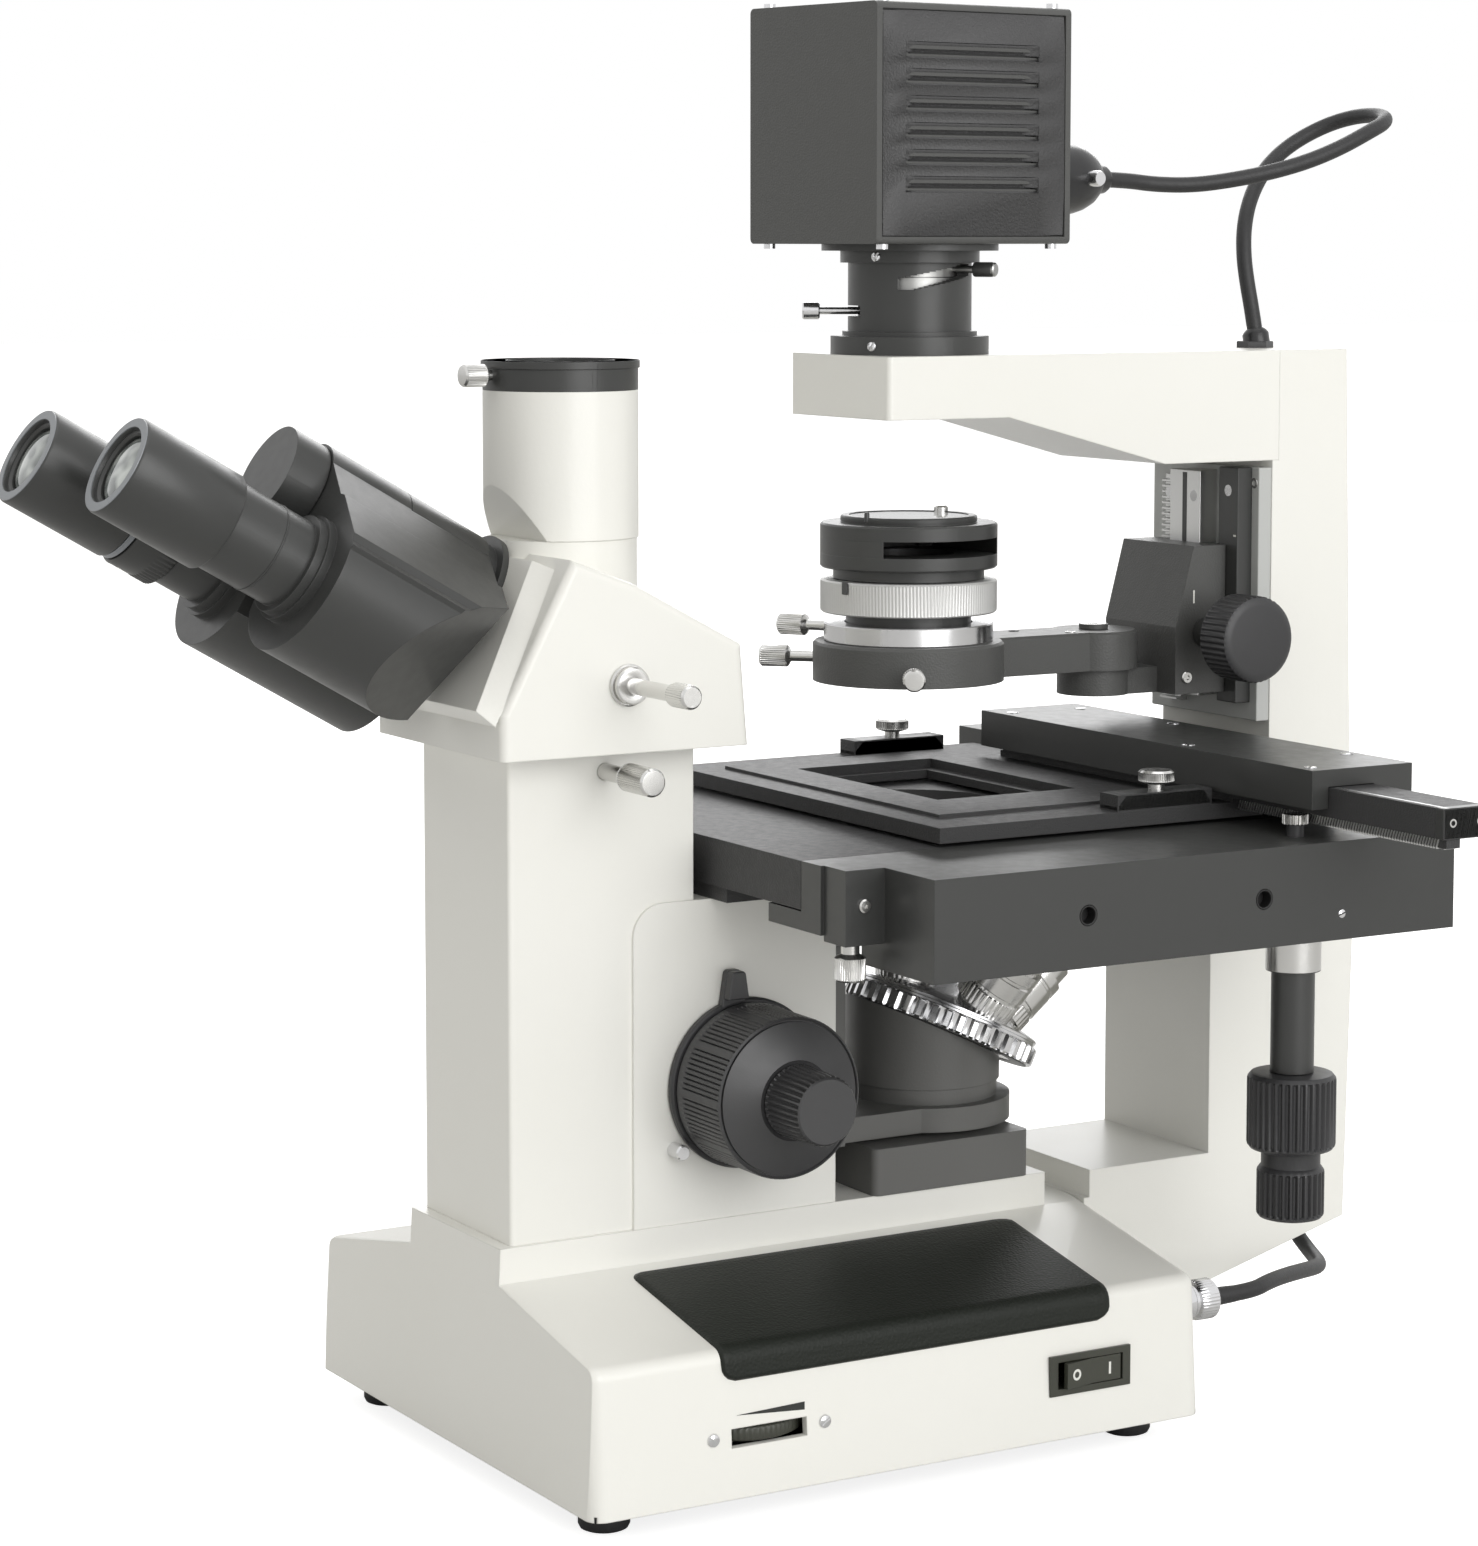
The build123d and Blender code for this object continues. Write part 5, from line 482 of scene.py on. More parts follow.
def hand_rest(side):
    """One pad: a grid over the shoulder, the bend and the side, with rounded corners and a soft rim."""
    inner, bend, low = Vector((41.0, 73.36)), Vector((106.5, 61.0)), Vector((107.22, 50.5))
    down, drop = (bend - inner).normalized(), (low - bend).normalized()
    radius = 5.0
    turn = down.angle(drop)
    setback = radius * math.tan(turn / 2)
    line = []
    flat = (bend - inner).length - setback
    for step in range(23):
        line.append((inner + down * flat * step / 22, Vector((-down.y, down.x))))
    centre = bend - down * setback + Vector((down.y, -down.x)) * radius
    for step in range(1, 11):
        angle = turn * step / 10
        out = Vector((-down.y, down.x))
        out.rotate(Matrix.Rotation(-angle, 2))
        line.append((centre + out * radius, out))
    last = line[-1][0]
    for step in range(1, 8):
        line.append((last + (low - last) * step / 7, Vector((-drop.y, drop.x))))
    length = [0.0]
    for (a, _), (b, _) in zip(line, line[1:]):
        length.append(length[-1] + (b - a).length)
    front, rear, corner = 51.0, 212.5, 6.0
    rows = [front + (rear - front) * step / 60 for step in range(61)]
    rows = sorted(set(rows + [front + 0.4, front + 1.2, front + 2.4, rear - 0.4, rear - 1.2, rear - 2.4]))
    shape = bmesh.new()
    sheets = []
    for lift in (1, 0):
        sheet = []
        for y in rows:
            near = max(0.0, corner - min(y - front, rear - y))
            start = corner - math.sqrt(max(0.0, corner * corner - near * near))
            ring = []
            for index, (place, out) in enumerate(line):
                share = length[index] / length[-1]
                share = start / length[-1] + share * (1 - 2 * start / length[-1])
                here = share * length[-1]
                first = max(k for k in range(len(length)) if length[k] <= here + 1e-9)
                if first == len(length) - 1:
                    first -= 1
                part = (here - length[first]) / (length[first + 1] - length[first])
                place = line[first][0].lerp(line[first + 1][0], part)
                out = line[first][1].lerp(line[first + 1][1], part).normalized()
                rim = min(index, len(line) - 1 - index) * 1.2
                edge = min(y - front, rear - y, rim)
                rise = PAD_RISE * math.sqrt(max(0.0, 1 - (1 - min(1.0, edge / 1.6)) ** 2)) if lift else -0.25
                x, z = place + out * rise
                ring.append(shape.verts.new(spot(side * x, y, z)))
            sheet.append(ring)
        for low_row, high_row in zip(sheet, sheet[1:]):
            for step in range(len(line) - 1):
                shape.faces.new((low_row[step], low_row[step + 1], high_row[step + 1], high_row[step]))
        sheets.append(sheet)
    top, under = sheets
    for row in (0, -1):
        for step in range(len(line) - 1):
            shape.faces.new((top[row][step], top[row][step + 1], under[row][step + 1], under[row][step]))
    for step in range(len(rows) - 1):
        for column in (0, -1):
            shape.faces.new((top[step][column], top[step + 1][column], under[step + 1][column], under[step][column]))
    bmesh.ops.recalc_face_normals(shape, faces=shape.faces)
    mesh = bpy.data.meshes.new("hand_rest")
    shape.to_mesh(mesh)
    shape.free()
    return build("hand_rest_right" if side > 0 else "hand_rest_left", mesh, pad_skin, "frame", 0, 60)


hand_rest(-1)
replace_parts(hand_rest(1), "hand_rest_pads")


# Switch and dial: a rocker with its generic O and I marks, and a ribbed wheel behind a slot, with a printed
# wedge that shows which way the light grows brighter.
def side_wall(z):
    return 110.0 - 3.5 * (z - 10) / 51


mark_white = Finish("printed_white", (0.78, 0.78, 0.74), 0.5)
mark_black = Finish("printed_black", (0.02, 0.022, 0.02), 0.5)
olive = Finish("switch_plastic", (0.045, 0.047, 0.036), 0.38)
olive.relief(olive.noise(1800), 0.02, 0.4)
coat(olive, "switch_bezel", "rocker")
rocker_pin = (side_wall(33.2) - 5, 202.8)


def on_rocker(y):
    """Place and outward direction on the rocker's face."""
    tilt = math.radians(6)
    local = (5 + 1.2 + 1.2 * abs(y) / 12.5, y)
    x = local[0] * math.cos(tilt) - local[1] * math.sin(tilt)
    y2 = local[0] * math.sin(tilt) + local[1] * math.cos(tilt)
    lean = tilt + math.atan(1.2 / 12.5) * (-1 if y > 0 else 1)
    return (rocker_pin[0] + x, rocker_pin[1] + y2, 33.2), (math.cos(lean), math.sin(lean), 0)


place, out = on_rocker(-7.8)
turned("rocker_off_mark", [(1.15, -0.3), (1.15, 0.08), (2.05, 0.08), (2.05, -0.3)], place, out, mark_white, "rocker",
       32)
place, out = on_rocker(7.8)
cut("rocker_on_mark", [rectangle(place[1] - 0.45, place[1] + 0.45, place[2] - 2.2, place[2] + 2.2)], "X",
    place[0] - 0.3, place[0] + 0.08, mark_white, "rocker")

wheel = turned("brightness_wheel",
               [(0, -21), (3, -21), (3, -2.8), (22.4, -2.8), (23.6, -2.2), (24, -1.6, 1), (24, 1.6, 1), (23.6, 2.2), (22.4, 2.8),
                (0, 2.8)],
               (side_wall(30.9) - 24.4, 69.3, 30.9), (0, 0, 1), olive, "brightness_dial",
               ribs=70, pattern=(0, 0, -0.35, -0.35))
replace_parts(wheel, "brightness_dial")
wall = side_wall(38)
cut("brightness_wedge", [[(56.5, 38.7), (83.6, 36.7), (83.6, 39.5)]], "X", wall - 0.4, wall + 0.12, mark_black,
    "frame")
for side in (-1, 1):
    screw = slotted_screw(f"dial_screw_{side + 1}", (side_wall(31.5) - 0.2, 69.3 + side * 22.2, 31.5), (1, 0, 0), 2.2,
                          0.9, "frame", 0.6 * side)


# Cable ends: knurled chrome coupling on the rear of the base, rubber sleeve under the tail, a gland on the arm
# and the plastic dome on the lamp house, which has a chrome stub in its side.
knurl = (0, 0, -0.3, -0.3)
turned("base_coupling", [(0, 0), (7.2, 0), (7.2, 5.4), (6.8, 6), (6.2, 6), (6.2, 8.4), (7.1, 8.4), (7.5, 9, 1), (7.5, 15.6, 1),
                         (7.1, 16.2), (5.2, 17.4), (0, 17.4)], (92, 252.5, 47), (0, 1, 0), chrome, "frame",
       ribs=36, pattern=knurl)
turned("base_coupling_sleeve", [(0, 0), (4.6, 0), (4.3, 1.6), (3.4, 2.6), (3.2, 8), (3.05, 11), (0, 11)], (92, 269.5, 47),
       (0, 1, 0), rubber, "frame", 40)
end = Vector((4.6, 370.4, 49.6))
into = (end - Vector((11.4, 372.3, 41.0))).normalized()
turned("tail_grommet", [(0, 0), (3.6, 0), (4.6, 1.5), (5.2, 3), (5.2, 8), (0, 8)], tuple(end - into * 3), into, rubber,
       "frame", 40)
lamp_turn = math.radians(7.4)


def on_lamp(x, y, z):
    """A point of the lamp house, which is turned a little on its flange."""
    return (x * math.cos(lamp_turn) - y * math.sin(lamp_turn), 194.2 + x * math.sin(lamp_turn) + y * math.cos(lamp_turn), z)


lamp_rear = (-math.sin(lamp_turn), math.cos(lamp_turn), 0)
lamp_right = (math.cos(lamp_turn), math.sin(lamp_turn), 0)
dome_plastic = Finish("dome_plastic", (0.016, 0.016, 0.017), 0.3)
dome_plastic.relief(dome_plastic.noise(900), 0.03)
dome = turned("lamp_cable_dome", [(0, 0), (13.5, 0), (13.5, 13), (13.2, 17), (12.2, 21), (10.4, 25), (8, 28.2), (6, 30),
                                  (5.6, 31), (5.4, 34), (4.6, 35.4), (0, 35.4)], on_lamp(17, 46.6, 460), lamp_rear,
              dome_plastic, "frame", 64)
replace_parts(dome, "cable_fittings")
turned("dome_stub", [(0, 0), (3, 0), (3, 17), (2.5, 18), (0, 18)], on_lamp(17, 63.6, 460), lamp_right, chrome, "frame",
       32)
gland_end = Vector((1.8, 354.0, 401.0))
gland_axis = (gland_end - Vector((0.6, 353.0, 410.6))).normalized()
turned("arm_gland_nut", [(0, 0), (7.2, 0), (7.2, 2.2), (6.9, 2.6), (0, 2.6)], (1.8, 354.0, 395), (0, 0, 1), dome_plastic,
       "frame", 6)
turned("arm_gland", [(0, -1.5), (3.4, -1.5), (4.4, -0.6), (5.2, 0.6), (5.2, 5.5), (0, 5.5)], tuple(gland_end), gland_axis,
       dome_plastic, "frame", 48)


# Focus drive: moulded knobs with clusters of grooves, a ribbed fine knob in each, a tension lever behind the
# right one, and a slotted peg in each cover panel.
cluster = (0, 0, 0, 0, -0.8) * 9 + (0, 0, 0, 0, 0)
KNOB_FACE = 38.6
knob_black = Finish("knob_black", (0.050, 0.050, 0.052), 0.36, shine=0.5)
knob_black.feed("Roughness", knob_black.noise(240, 3) * 0.14 + 0.28)
knob_black.relief(knob_black.noise(1500, 2), 0.02)
for side in (1, -1):
    hand = "right" if side > 0 else "left"
    coarse = turned(f"coarse_knob_{hand}",
                    [(8, 0), (28.6, 0), (29.5, 0.9), (29.5, 4.6), (29.2, 5.2, 1), (29.2, 28.2, 1), (28.9, 29.2), (28.2, 29.7),
                     (27.9, 29.4), (27.9, 28.7), (27.4, 28.7), (27.3, 29.6), (20, 32.3), (14.4, 34.0), (13.8, 33.6),
                     (4.2, 33.6), (4.2, 0)],
                    (side * KNOB_FACE, 101.5, 136), (side, 0, 0), knob_black, "coarse_knobs",
                    ribs=10, pattern=cluster)
    fine = turned(f"fine_knob_{hand}",
                  [(0, 0), (13.0, 0), (13.2, 0.6, 1), (12.5, 19.4, 1), (12.0, 20.4), (11.4, 21), (0, 21)],
                  (side * 73, 101.5, 136), (side, 0, 0), knob_black, "fine_knobs",
                  ribs=36, pattern=(0, 0, -1.1, -1.1))
    turned(f"cover_peg_{hand}", [(0, 0), (2.8, 0), (2.8, 7.2), (2.3, 7.8), (0, 7.8)], (side * 34.4, 73.3, 114.3),
           (side, 0, 0), chrome, "frame", 32)
shaft = turned("focus_shaft", [(4.05, -39), (8, -39), (8, -10), (9.5, -10), (9.5, 10), (8, 10), (8, 39), (4.05, 39)],
               (0, 101.5, 136), (1, 0, 0), chrome, "coarse_knobs", 48)
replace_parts(shaft, "coarse_knobs")
inner_shaft = turned("fine_shaft", [(0, -74), (4, -74), (4, 74), (0, 74)], (0, 101.5, 136), (1, 0, 0), chrome,
                     "fine_knobs", 32)
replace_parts(inner_shaft, "fine_knobs")
lever_x = 35.15
cut("tension_tab", [[(90.6, 155), (101.8, 155), (101.0, 166), (99.2, 176.8), (98.4, 177.6), (94.0, 177.6), (93.2, 176.8),
                     (91.4, 166)]], "X", lever_x, lever_x + 3.4, knob_black, "tension_lever", 0.6)
ring = turned("tension_ring", [(13.06, 0), (30.2, 0), (31, 0.8), (31, 2.6), (30.2, 3.4), (13.06, 3.4)],
              (lever_x, 101.5, 136), (1, 0, 0), moulded, "tension_lever", 96)
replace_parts(ring, "tension_lever")
cut("tension_tab_grip", [[(91.9, 167.4), (100.5, 167.4), (99.1, 176.7), (98.3, 177.5), (94.1, 177.5), (93.3, 176.7)]], "X",
    lever_x + 3.2, lever_x + 7.0, knob_black, "tension_lever", 0.6)


# Thumb screws and rods: turned brass or steel, nickel plated, with a straight knurl on the head.
nickel = Finish("nickel_plate", (0.66, 0.655, 0.64), 0.2, metallic=1.0)
nickel.feed("Roughness", nickel.noise(500) * 0.15 + 0.16)


def thumb(name, start, along, shank, shank_length, head, head_length, body, node="", ribs=34):
    """A thumb screw with a knurled head, a turned recess behind it and a chamfered end."""
    top = shank_length + head_length
    made = turned(name, [(0, 0), (shank, 0), (shank, shank_length - 0.9), (head * 0.72, shank_length - 0.4),
                         (head * 0.9, shank_length), (head, shank_length + 0.5), (head, shank_length + 0.7, 1),
                         (head, top - 1.1, 1), (head, top - 0.8), (head * 0.86, top - 0.05), (head * 0.7, top), (0, top)],
                  start, along, nickel, body, ribs=ribs, pattern=(0, 0, -0.28, -0.28))
    if node:
        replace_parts(made, node)
    return made


thumb("camera_thumb_screw", (0, 27.9, 390), (0, -1, 0), 1.8, 10.5, 4.0, 9, "camera_clamp_screw", "camera_clamp_screw")
thumb("head_thumb_screw", (30, 46.4, 252), (1, 0, 0), 3.0, 21, 5.0, 18, "head_clamp_screw", "head_clamp_screw", 40)
thumb("stage_lock_nut", (119.5, 94.5, 209), (0, 0, -1), 3.2, 13.4, 5.4, 8.6, "stage_lock_screw", "stage_lock_screw", 40)
for node, x in (("clip_screw_left", -84.5), ("clip_screw_right", 93.5)):
    thumb(node + "_head", (x, 241, 227.8), (0, 0, 1), 3.0, 14.2, 6.6, 4.4, node, node, 48)
for node, azimuth, z, start, end, length in (("condenser_clamp_screw", 212.0, 291.6, 24.5, 54.0, 11),
                                             ("centring_screw_left", 226.0, 280.6, 24.5, 57.0, 11),
                                             ("centring_screw_right", 330.0, 277.5, 24.5, 48.5, 7)):
    out = (math.cos(math.radians(azimuth)), math.sin(math.radians(azimuth)), 0)
    thumb(node + "_head", (out[0] * start, 194.2 + out[1] * start, z), out, 2.0, end - start - length, 4.1, length, node,
          node, 30)
rod = turned("beam_rod", [(0, 0), (2.85, 0), (2.85, 52.6), (3.6, 53), (4.2, 53.6), (4.25, 54, 1), (4.25, 63.6, 1), (4.1, 64.2),
                          (3.4, 65), (0, 65)], (30, 47, 284), (1, 0, 0), nickel, "light_path_rod", ribs=32,
             pattern=(0, 0, -0.2, -0.2))
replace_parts(rod, "light_path_rod")
turned("rod_bush", [(2.9, -2), (5.5, -2), (5.5, 0.1), (7.4, 0.1), (7.4, 1.2), (6.9, 1.6), (6.0, 1.6), (6.0, 2.3), (6.6, 2.6),
                    (6.6, 3.8), (6.1, 4.4), (4.2, 4.6), (2.9, 4.2)], (50, 47, 284), (1, 0, 0), nickel, "frame", 56)


# Lamp tube: the collector lever has a black sleeve, and small slotted screws hold the flange and the ring.
dull_steel = Finish("dull_steel", (0.40, 0.40, 0.39), 0.36, metallic=1.0)
dull_steel.feed("Roughness", dull_steel.noise(600) * 0.18 + 0.28)
coat(dull_steel, "collector_lever", "collector_cell")
lever_out = (math.cos(math.radians(32.2)), math.sin(math.radians(32.2)), 0)
turned("collector_lever_sleeve", [(1.4, 26.4), (2.6, 26.4), (2.75, 26.8), (2.75, 33.4), (2.6, 33.8), (1.4, 33.8)],
       (0, 194.2, 426.3), lever_out, anodised, "collector_lever", 32)
for name, azimuth, radius, z in (("lamp_ring_screw", 298.8, 25.8, 431.0), ("lamp_flange_screw", 299.5, 29.4, 398.3)):
    out = (math.cos(math.radians(azimuth)), math.sin(math.radians(azimuth)), 0)
    slotted_screw(name, (out[0] * radius, 194.2 + out[1] * radius, z), out, 1.8, 0.9, "frame", 0.9)


# Camera port: black anodised ring with a thin lip on the white tube; small slotted screws hold the tube.
turned("camera_port_ring", [(19, 0.5), (27.2, 0.1), (27.6, 0.5), (27.6, 7.2), (27.3, 7.5), (28.2, 7.9), (28.2, 10.0), (27.9, 10.4),
                            (19.4, 10.4), (19, 10.0)], (0, 47.3, 384.6), (0, 0, 1), anodised, "frame", 128)

# Eyepieces: black anodised barrels with a pale lettering ring in the mouth, a stepped inner wall, and a coated
# eye lens whose mottled grey is a painted reflection. The tube has a fine parting line where the eyepiece sits, and the
# left one a diopter ring.
sight = math.radians(30)
roll = math.radians(3.8)
EYE_ALONG = (0, -math.cos(sight), math.sin(sight))
UPSLOPE = Vector((0, math.sin(sight), math.cos(sight)))


def eye_start(side):
    """Point at height 0 on the axis of one eyepiece."""
    u, w = side * 30.0, -30.4
    across = u * math.cos(roll) - w * math.sin(roll)
    slope = u * math.sin(roll) + w * math.cos(roll)
    return tuple(Vector((0, 138.9, 240.6)) + Vector((across, 0, 0)) + UPSLOPE * slope)


rim_grey = Finish("rim_ring", (0.23, 0.245, 0.265), 0.34)
rim_grey.relief(rim_grey.noise(1500), 0.02)
lens = Finish("eye_lens", (0.30, 0.34, 0.33), 0.04, coat=1.0)
# Broad dark-to-pale mottle in the lens colour: painted reflection.
lens_painted_reflection = lens.node("ShaderNodeTexNoise", {}, {"Vector": lens.place, "Scale": 120.0, "Detail": 1.0})
lens.feed("Base Color", lens.blend(lens.ramp(lens_painted_reflection, 0.40, 0.62), (0.10, 0.12, 0.115), (0.62, 0.66, 0.64)))
for side, hand, rim in ((1, "right", 297.4), (-1, "left", 305.0)):
    start = eye_start(side)
    body = f"{hand}_ocular"
    barrel = turned(f"{hand}_eyepiece_barrel",
                    [(13.6, rim - 6), (13.6, rim - 1.0), (13.9, rim - 0.3), (17.0, rim - 0.1), (17.35, rim - 0.5), (17.6, rim - 1.2),
                     (17.6, rim - 39.4), (17.2, rim - 40), (15.9, rim - 40.2), (13.7, rim - 40.2)],
                    start, EYE_ALONG, anodised, body, 120)
    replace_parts(barrel, f"{hand}_eyepiece")
    turned(f"{hand}_rim_ring", [(14.0, rim - 0.6), (14.0, rim + 0.05), (17.1, rim + 0.05), (17.2, rim - 0.6)], start,
           EYE_ALONG, rim_grey, body, 120)
    turned(f"{hand}_eye_stop", [(12.0, rim - 5.5), (12.0, rim - 2.6), (12.8, rim - 1.7), (13.7, rim - 1.7), (13.7, rim - 5.5)],
           start, EYE_ALONG, anodised, body, 96)
    dome_rows = [(12.3 * math.sin(math.radians(a)), rim - 4.6 + 3.4 * math.cos(math.radians(a))) for a in range(0, 95, 10)]
    turned(f"{hand}_eye_lens", [(0, rim - 8.0)] + [(12.3, rim - 8.0)] + dome_rows[::-1], start, EYE_ALONG, lens, body,
           64, smooth=60)
    turned(f"{hand}_eyepiece_sleeve", [(9.9, rim - 64), (11.6, rim - 64), (11.6, rim - 40), (9.9, rim - 40)], start,
           EYE_ALONG, nickel, body, 64)
    turned(f"{hand}_tube_line", [(15.85, rim - 58.6), (16.05, rim - 58.4), (16.05, rim - 57.9), (15.85, rim - 57.7)] if side > 0
           else [(15.85, rim - 42.6), (17.0, rim - 42.4), (17.0, rim - 40.4), (15.85, rim - 40.2)],
           start, EYE_ALONG, rim_grey if side < 0 else anodised, body, 96)

scale = turned("diopter_scale_ring",
               [(15.9, 245), (17.4, 245), (18.2, 245.8, 1), (18.2, 251.4, 1), (17.9, 252.2), (18.0, 252.8), (18.0, 261),
                (17.4, 262), (15.9, 262)], eye_start(-1), EYE_ALONG, anodised, "diopter_ring", ribs=60,
               pattern=(0, 0, -0.35, -0.35))
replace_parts(scale, "diopter_ring")


def ring_mark(name, angle, height, text="", tick=0.0):
    """A white number or tick on the diopter scale, printed on the ring's skin."""
    axis, across, third = basis(EYE_ALONG)
    out = across * math.cos(angle) + third * math.sin(angle)
    side_way = axis.cross(out).normalized()
    place = spot(*eye_start(-1)) + (axis * height + out * 18.02) / 1000
    if text:
        curve = bpy.data.curves.new(name, "FONT")
        curve.body = text
        curve.size = 0.0042
        curve.align_x = "CENTER"
        curve.align_y = "CENTER"
        curve.extrude = 0.00005
        label = bpy.data.objects.new(name + "_draft", curve)
        mesh = bpy.data.meshes.new_from_object(label)
        bpy.data.objects.remove(label)
    else:
        shape = bmesh.new()
        bmesh.ops.create_cube(shape, size=1)
        bmesh.ops.scale(shape, vec=(0.00035, tick / 1000, 0.0001), verts=shape.verts)
        mesh = bpy.data.meshes.new(name)
        shape.to_mesh(mesh)
        shape.free()
    frame_of = Matrix((side_way, axis, out)).transposed().to_4x4()
    mesh.transform(Matrix.Translation(place) @ frame_of)
    return build(name, mesh, mark_white, "diopter_ring")


for index in range(-6, 7):
    turn_at = 0.55 + index * 0.17
    ring_mark(f"diopter_tick_{index + 6}", turn_at, 260.0, tick=2.0)
for text, index in (("0", 0), ("1", 2), ("2", 4), ("3", 6), ("2", -4), ("1", -2), ("3", -6)):
    ring_mark(f"diopter_number_{index + 6}", 0.55 + index * 0.17, 256.2, text)


# Objective turret: a chromed ring with a coarse straight knurl on a black cone, and chromed objectives with
# engraved rings; the one in use stands under the specimen.
tilt = math.radians(25.5)
TURRET_ALONG = (0, math.sin(tilt), math.cos(tilt))
APEX = (0, 194.2, 109.5)
flutes = (0, 0, 0, -1.3, -1.5, -1.3)
ring = turned("turret_ring_chrome",
              [(36.2, 31.2), (37.6, 31.2), (38.3, 32.0, 1), (38.3, 37.6, 1), (37.4, 38.4), (36.6, 38.7), (36.6, 39.5), (37.0, 39.8),
               (37.0, 40.6), (36.2, 41.2), (24.0, 44.6), (14.0, 49.6), (7.2, 51.6), (7.2, 31.2)],
              APEX, TURRET_ALONG, chrome, "turret", ribs=44, pattern=flutes)
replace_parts(ring, "turret_ring")
turned("turret_shade_ring", [(30, 30.9), (36.4, 30.9), (36.4, 31.6), (30, 31.6)], APEX, TURRET_ALONG, anodised, "turret",
       96)


def objective_along(index):
    turn = math.pi * index / 2
    along = Vector(TURRET_ALONG)
    outward = Vector((0, math.cos(tilt), -math.sin(tilt))) * -math.cos(turn) + Vector((1, 0, 0)) * math.sin(turn)
    return tuple(along * math.cos(tilt) + outward * math.sin(tilt))


for index, length in enumerate((39.5, 33.0, 36.0, 27.0)):
    seat, tip = 51.6, 51.6 + length
    barrel = turned(f"objective_{index}",
                    [(0, seat - 4), (9.9, seat - 4), (9.9, seat), (11.9, seat), (12, seat + 0.4, 1), (12, seat + 6.4, 1), (11.4, seat + 6.9),
                     (11.4, seat + 8.2), (12, seat + 8.6), (12, tip - 18), (11.5, tip - 17.6), (11.5, tip - 16.6), (12, tip - 16.2),
                     (12, tip - 12), (10.5, tip - 11.6), (10.5, tip - 5), (9.6, tip - 4.2), (6.0, tip - 0.9), (5.2, tip), (3.4, tip),
                     (3.0, tip - 0.8), (0, tip - 0.8)],
                    APEX, objective_along(index), nickel, "turret", ribs=36, pattern=(0, 0, -0.3, -0.3))
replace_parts(barrel, "objectives")


# Condenser: black barrel in a polished ring and a silver aperture ring with a fine knurl; the top holds a
# filter slot and a cover with a flat front lens, whose rim has two small studs.
AXIS = (0, 194.2, 0)
polished = turned("polished_ring", [(24.1, 287.9), (31.4, 287.9), (31.8, 288.3), (31.8, 294.4), (31.4, 294.85), (24.1, 294.85)],
                  AXIS, (0, 0, 1), chrome, "condenser_arm", 128)
satin = Finish("satin_aluminium", (0.62, 0.62, 0.61), 0.42, metallic=0.7)
satin.feed("Roughness", satin.noise(900) * 0.16 + 0.38)
silver = turned("aperture_ring_silver",
                [(23.6, 298.8), (32.4, 298.8), (33.0, 299.3), (33.1, 299.9, 1), (33.1, 310.0, 1), (33.0, 310.6), (32.4, 311.2), (23.6, 311.2)],
                AXIS, (0, 0, 1), satin, "aperture_ring", ribs=160, pattern=(0, 0, -0.3, -0.3))
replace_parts(silver, "aperture_ring")
notch_at = math.radians(282)
cut_at = (33.1 * math.cos(notch_at), 194.2 + 33.1 * math.sin(notch_at))
cut("aperture_notch", [[(cut_at[0] - 1.6, cut_at[1] - 0.3), (cut_at[0] + 1.6, cut_at[1] - 0.3),
                        (cut_at[0] + 1.6, cut_at[1] + 0.4), (cut_at[0] - 1.6, cut_at[1] + 0.4)]], "Z", 306.8, 311.3,
    anodised, "aperture_ring")
for index, azimuth in enumerate((135, 225)):
    low_rim = arc(0, 194.2, 33.1, azimuth - 4.6, azimuth + 4.6, 6)
    high_rim = arc(0, 194.2, 30.0, azimuth + 4.6, azimuth - 4.6, 6)
    cut(f"slot_wall_{index}", [low_rim + high_rim], "Z", 320.7, 327.0, anodised, "condenser_arm")
# The flat front lens has a broad dark-to-grey mottle in its colour: painted reflection.
front_glass = Finish("front_glass", (0.2, 0.21, 0.205), 0.08)
front_glass.feed("Base Color", front_glass.blend(front_glass.noise(26, 1), (0.10, 0.105, 0.10), (0.30, 0.31, 0.30)))
turned("lens_cover_rim", [(22.4, 334.5), (22.4, 335.0), (25.0, 335.0), (25.6, 334.3), (25.6, 333.0), (22.4, 333.0)], AXIS, (0, 0, 1),
       anodised, "condenser_arm", 128)
turned("lens_cover_glass", [(0, 333.6), (22.5, 333.6), (22.5, 334.72), (0, 334.72)], AXIS, (0, 0, 1), front_glass,
       "condenser_arm", 96)
for index, (azimuth, reach, radius, finish) in enumerate(((116, 23.4, 2.7, nickel), (289, 25.0, 1.0, anodised))):
    stud = (reach * math.cos(math.radians(azimuth)), 194.2 + reach * math.sin(math.radians(azimuth)), 333.4)
    turned(f"lens_cover_stud_{index}", [(0, 0), (radius, 0), (radius, 3.0), (radius * 0.75, 3.6), (0, 3.6)], stud, (0, 0, 1),
           finish, "condenser_arm", 24)
turned("pivot_bolt_head", [(0, 287.9), (5.5, 287.9), (5.5, 289.3), (4.9, 289.9), (2.2, 289.9), (2.0, 289.3), (0, 289.3)],
       (0, 279, 0), (0, 0, 1), nickel, "condenser_carriage", 48)
for index, (x, y) in enumerate(((-7.5, 247.0), (8.2, 262.5))):
    turned(f"arm_set_screw_{index}", [(0, 287.6), (2.0, 287.6), (2.0, 288.15), (1.0, 288.15), (0.8, 287.9), (0, 287.9)],
           (x, y, 0), (0, 0, 1), nickel if index else anodised, "condenser_arm", 24)
index_mark = cut("carriage_index_mark", [rectangle(309.4, 310.1, 298, 303)], "X", 22.9, 23.08, mark_white,
                 "condenser_carriage")
turned("carriage_side_screw", [(0, 22.6), (2.4, 22.6), (2.4, 23.6), (2.0, 24.0), (1.0, 24.0), (0.9, 23.4), (0, 23.4)],
       (0, 306.5, 269.5), (1, 0, 0), nickel, "condenser_carriage", 24)
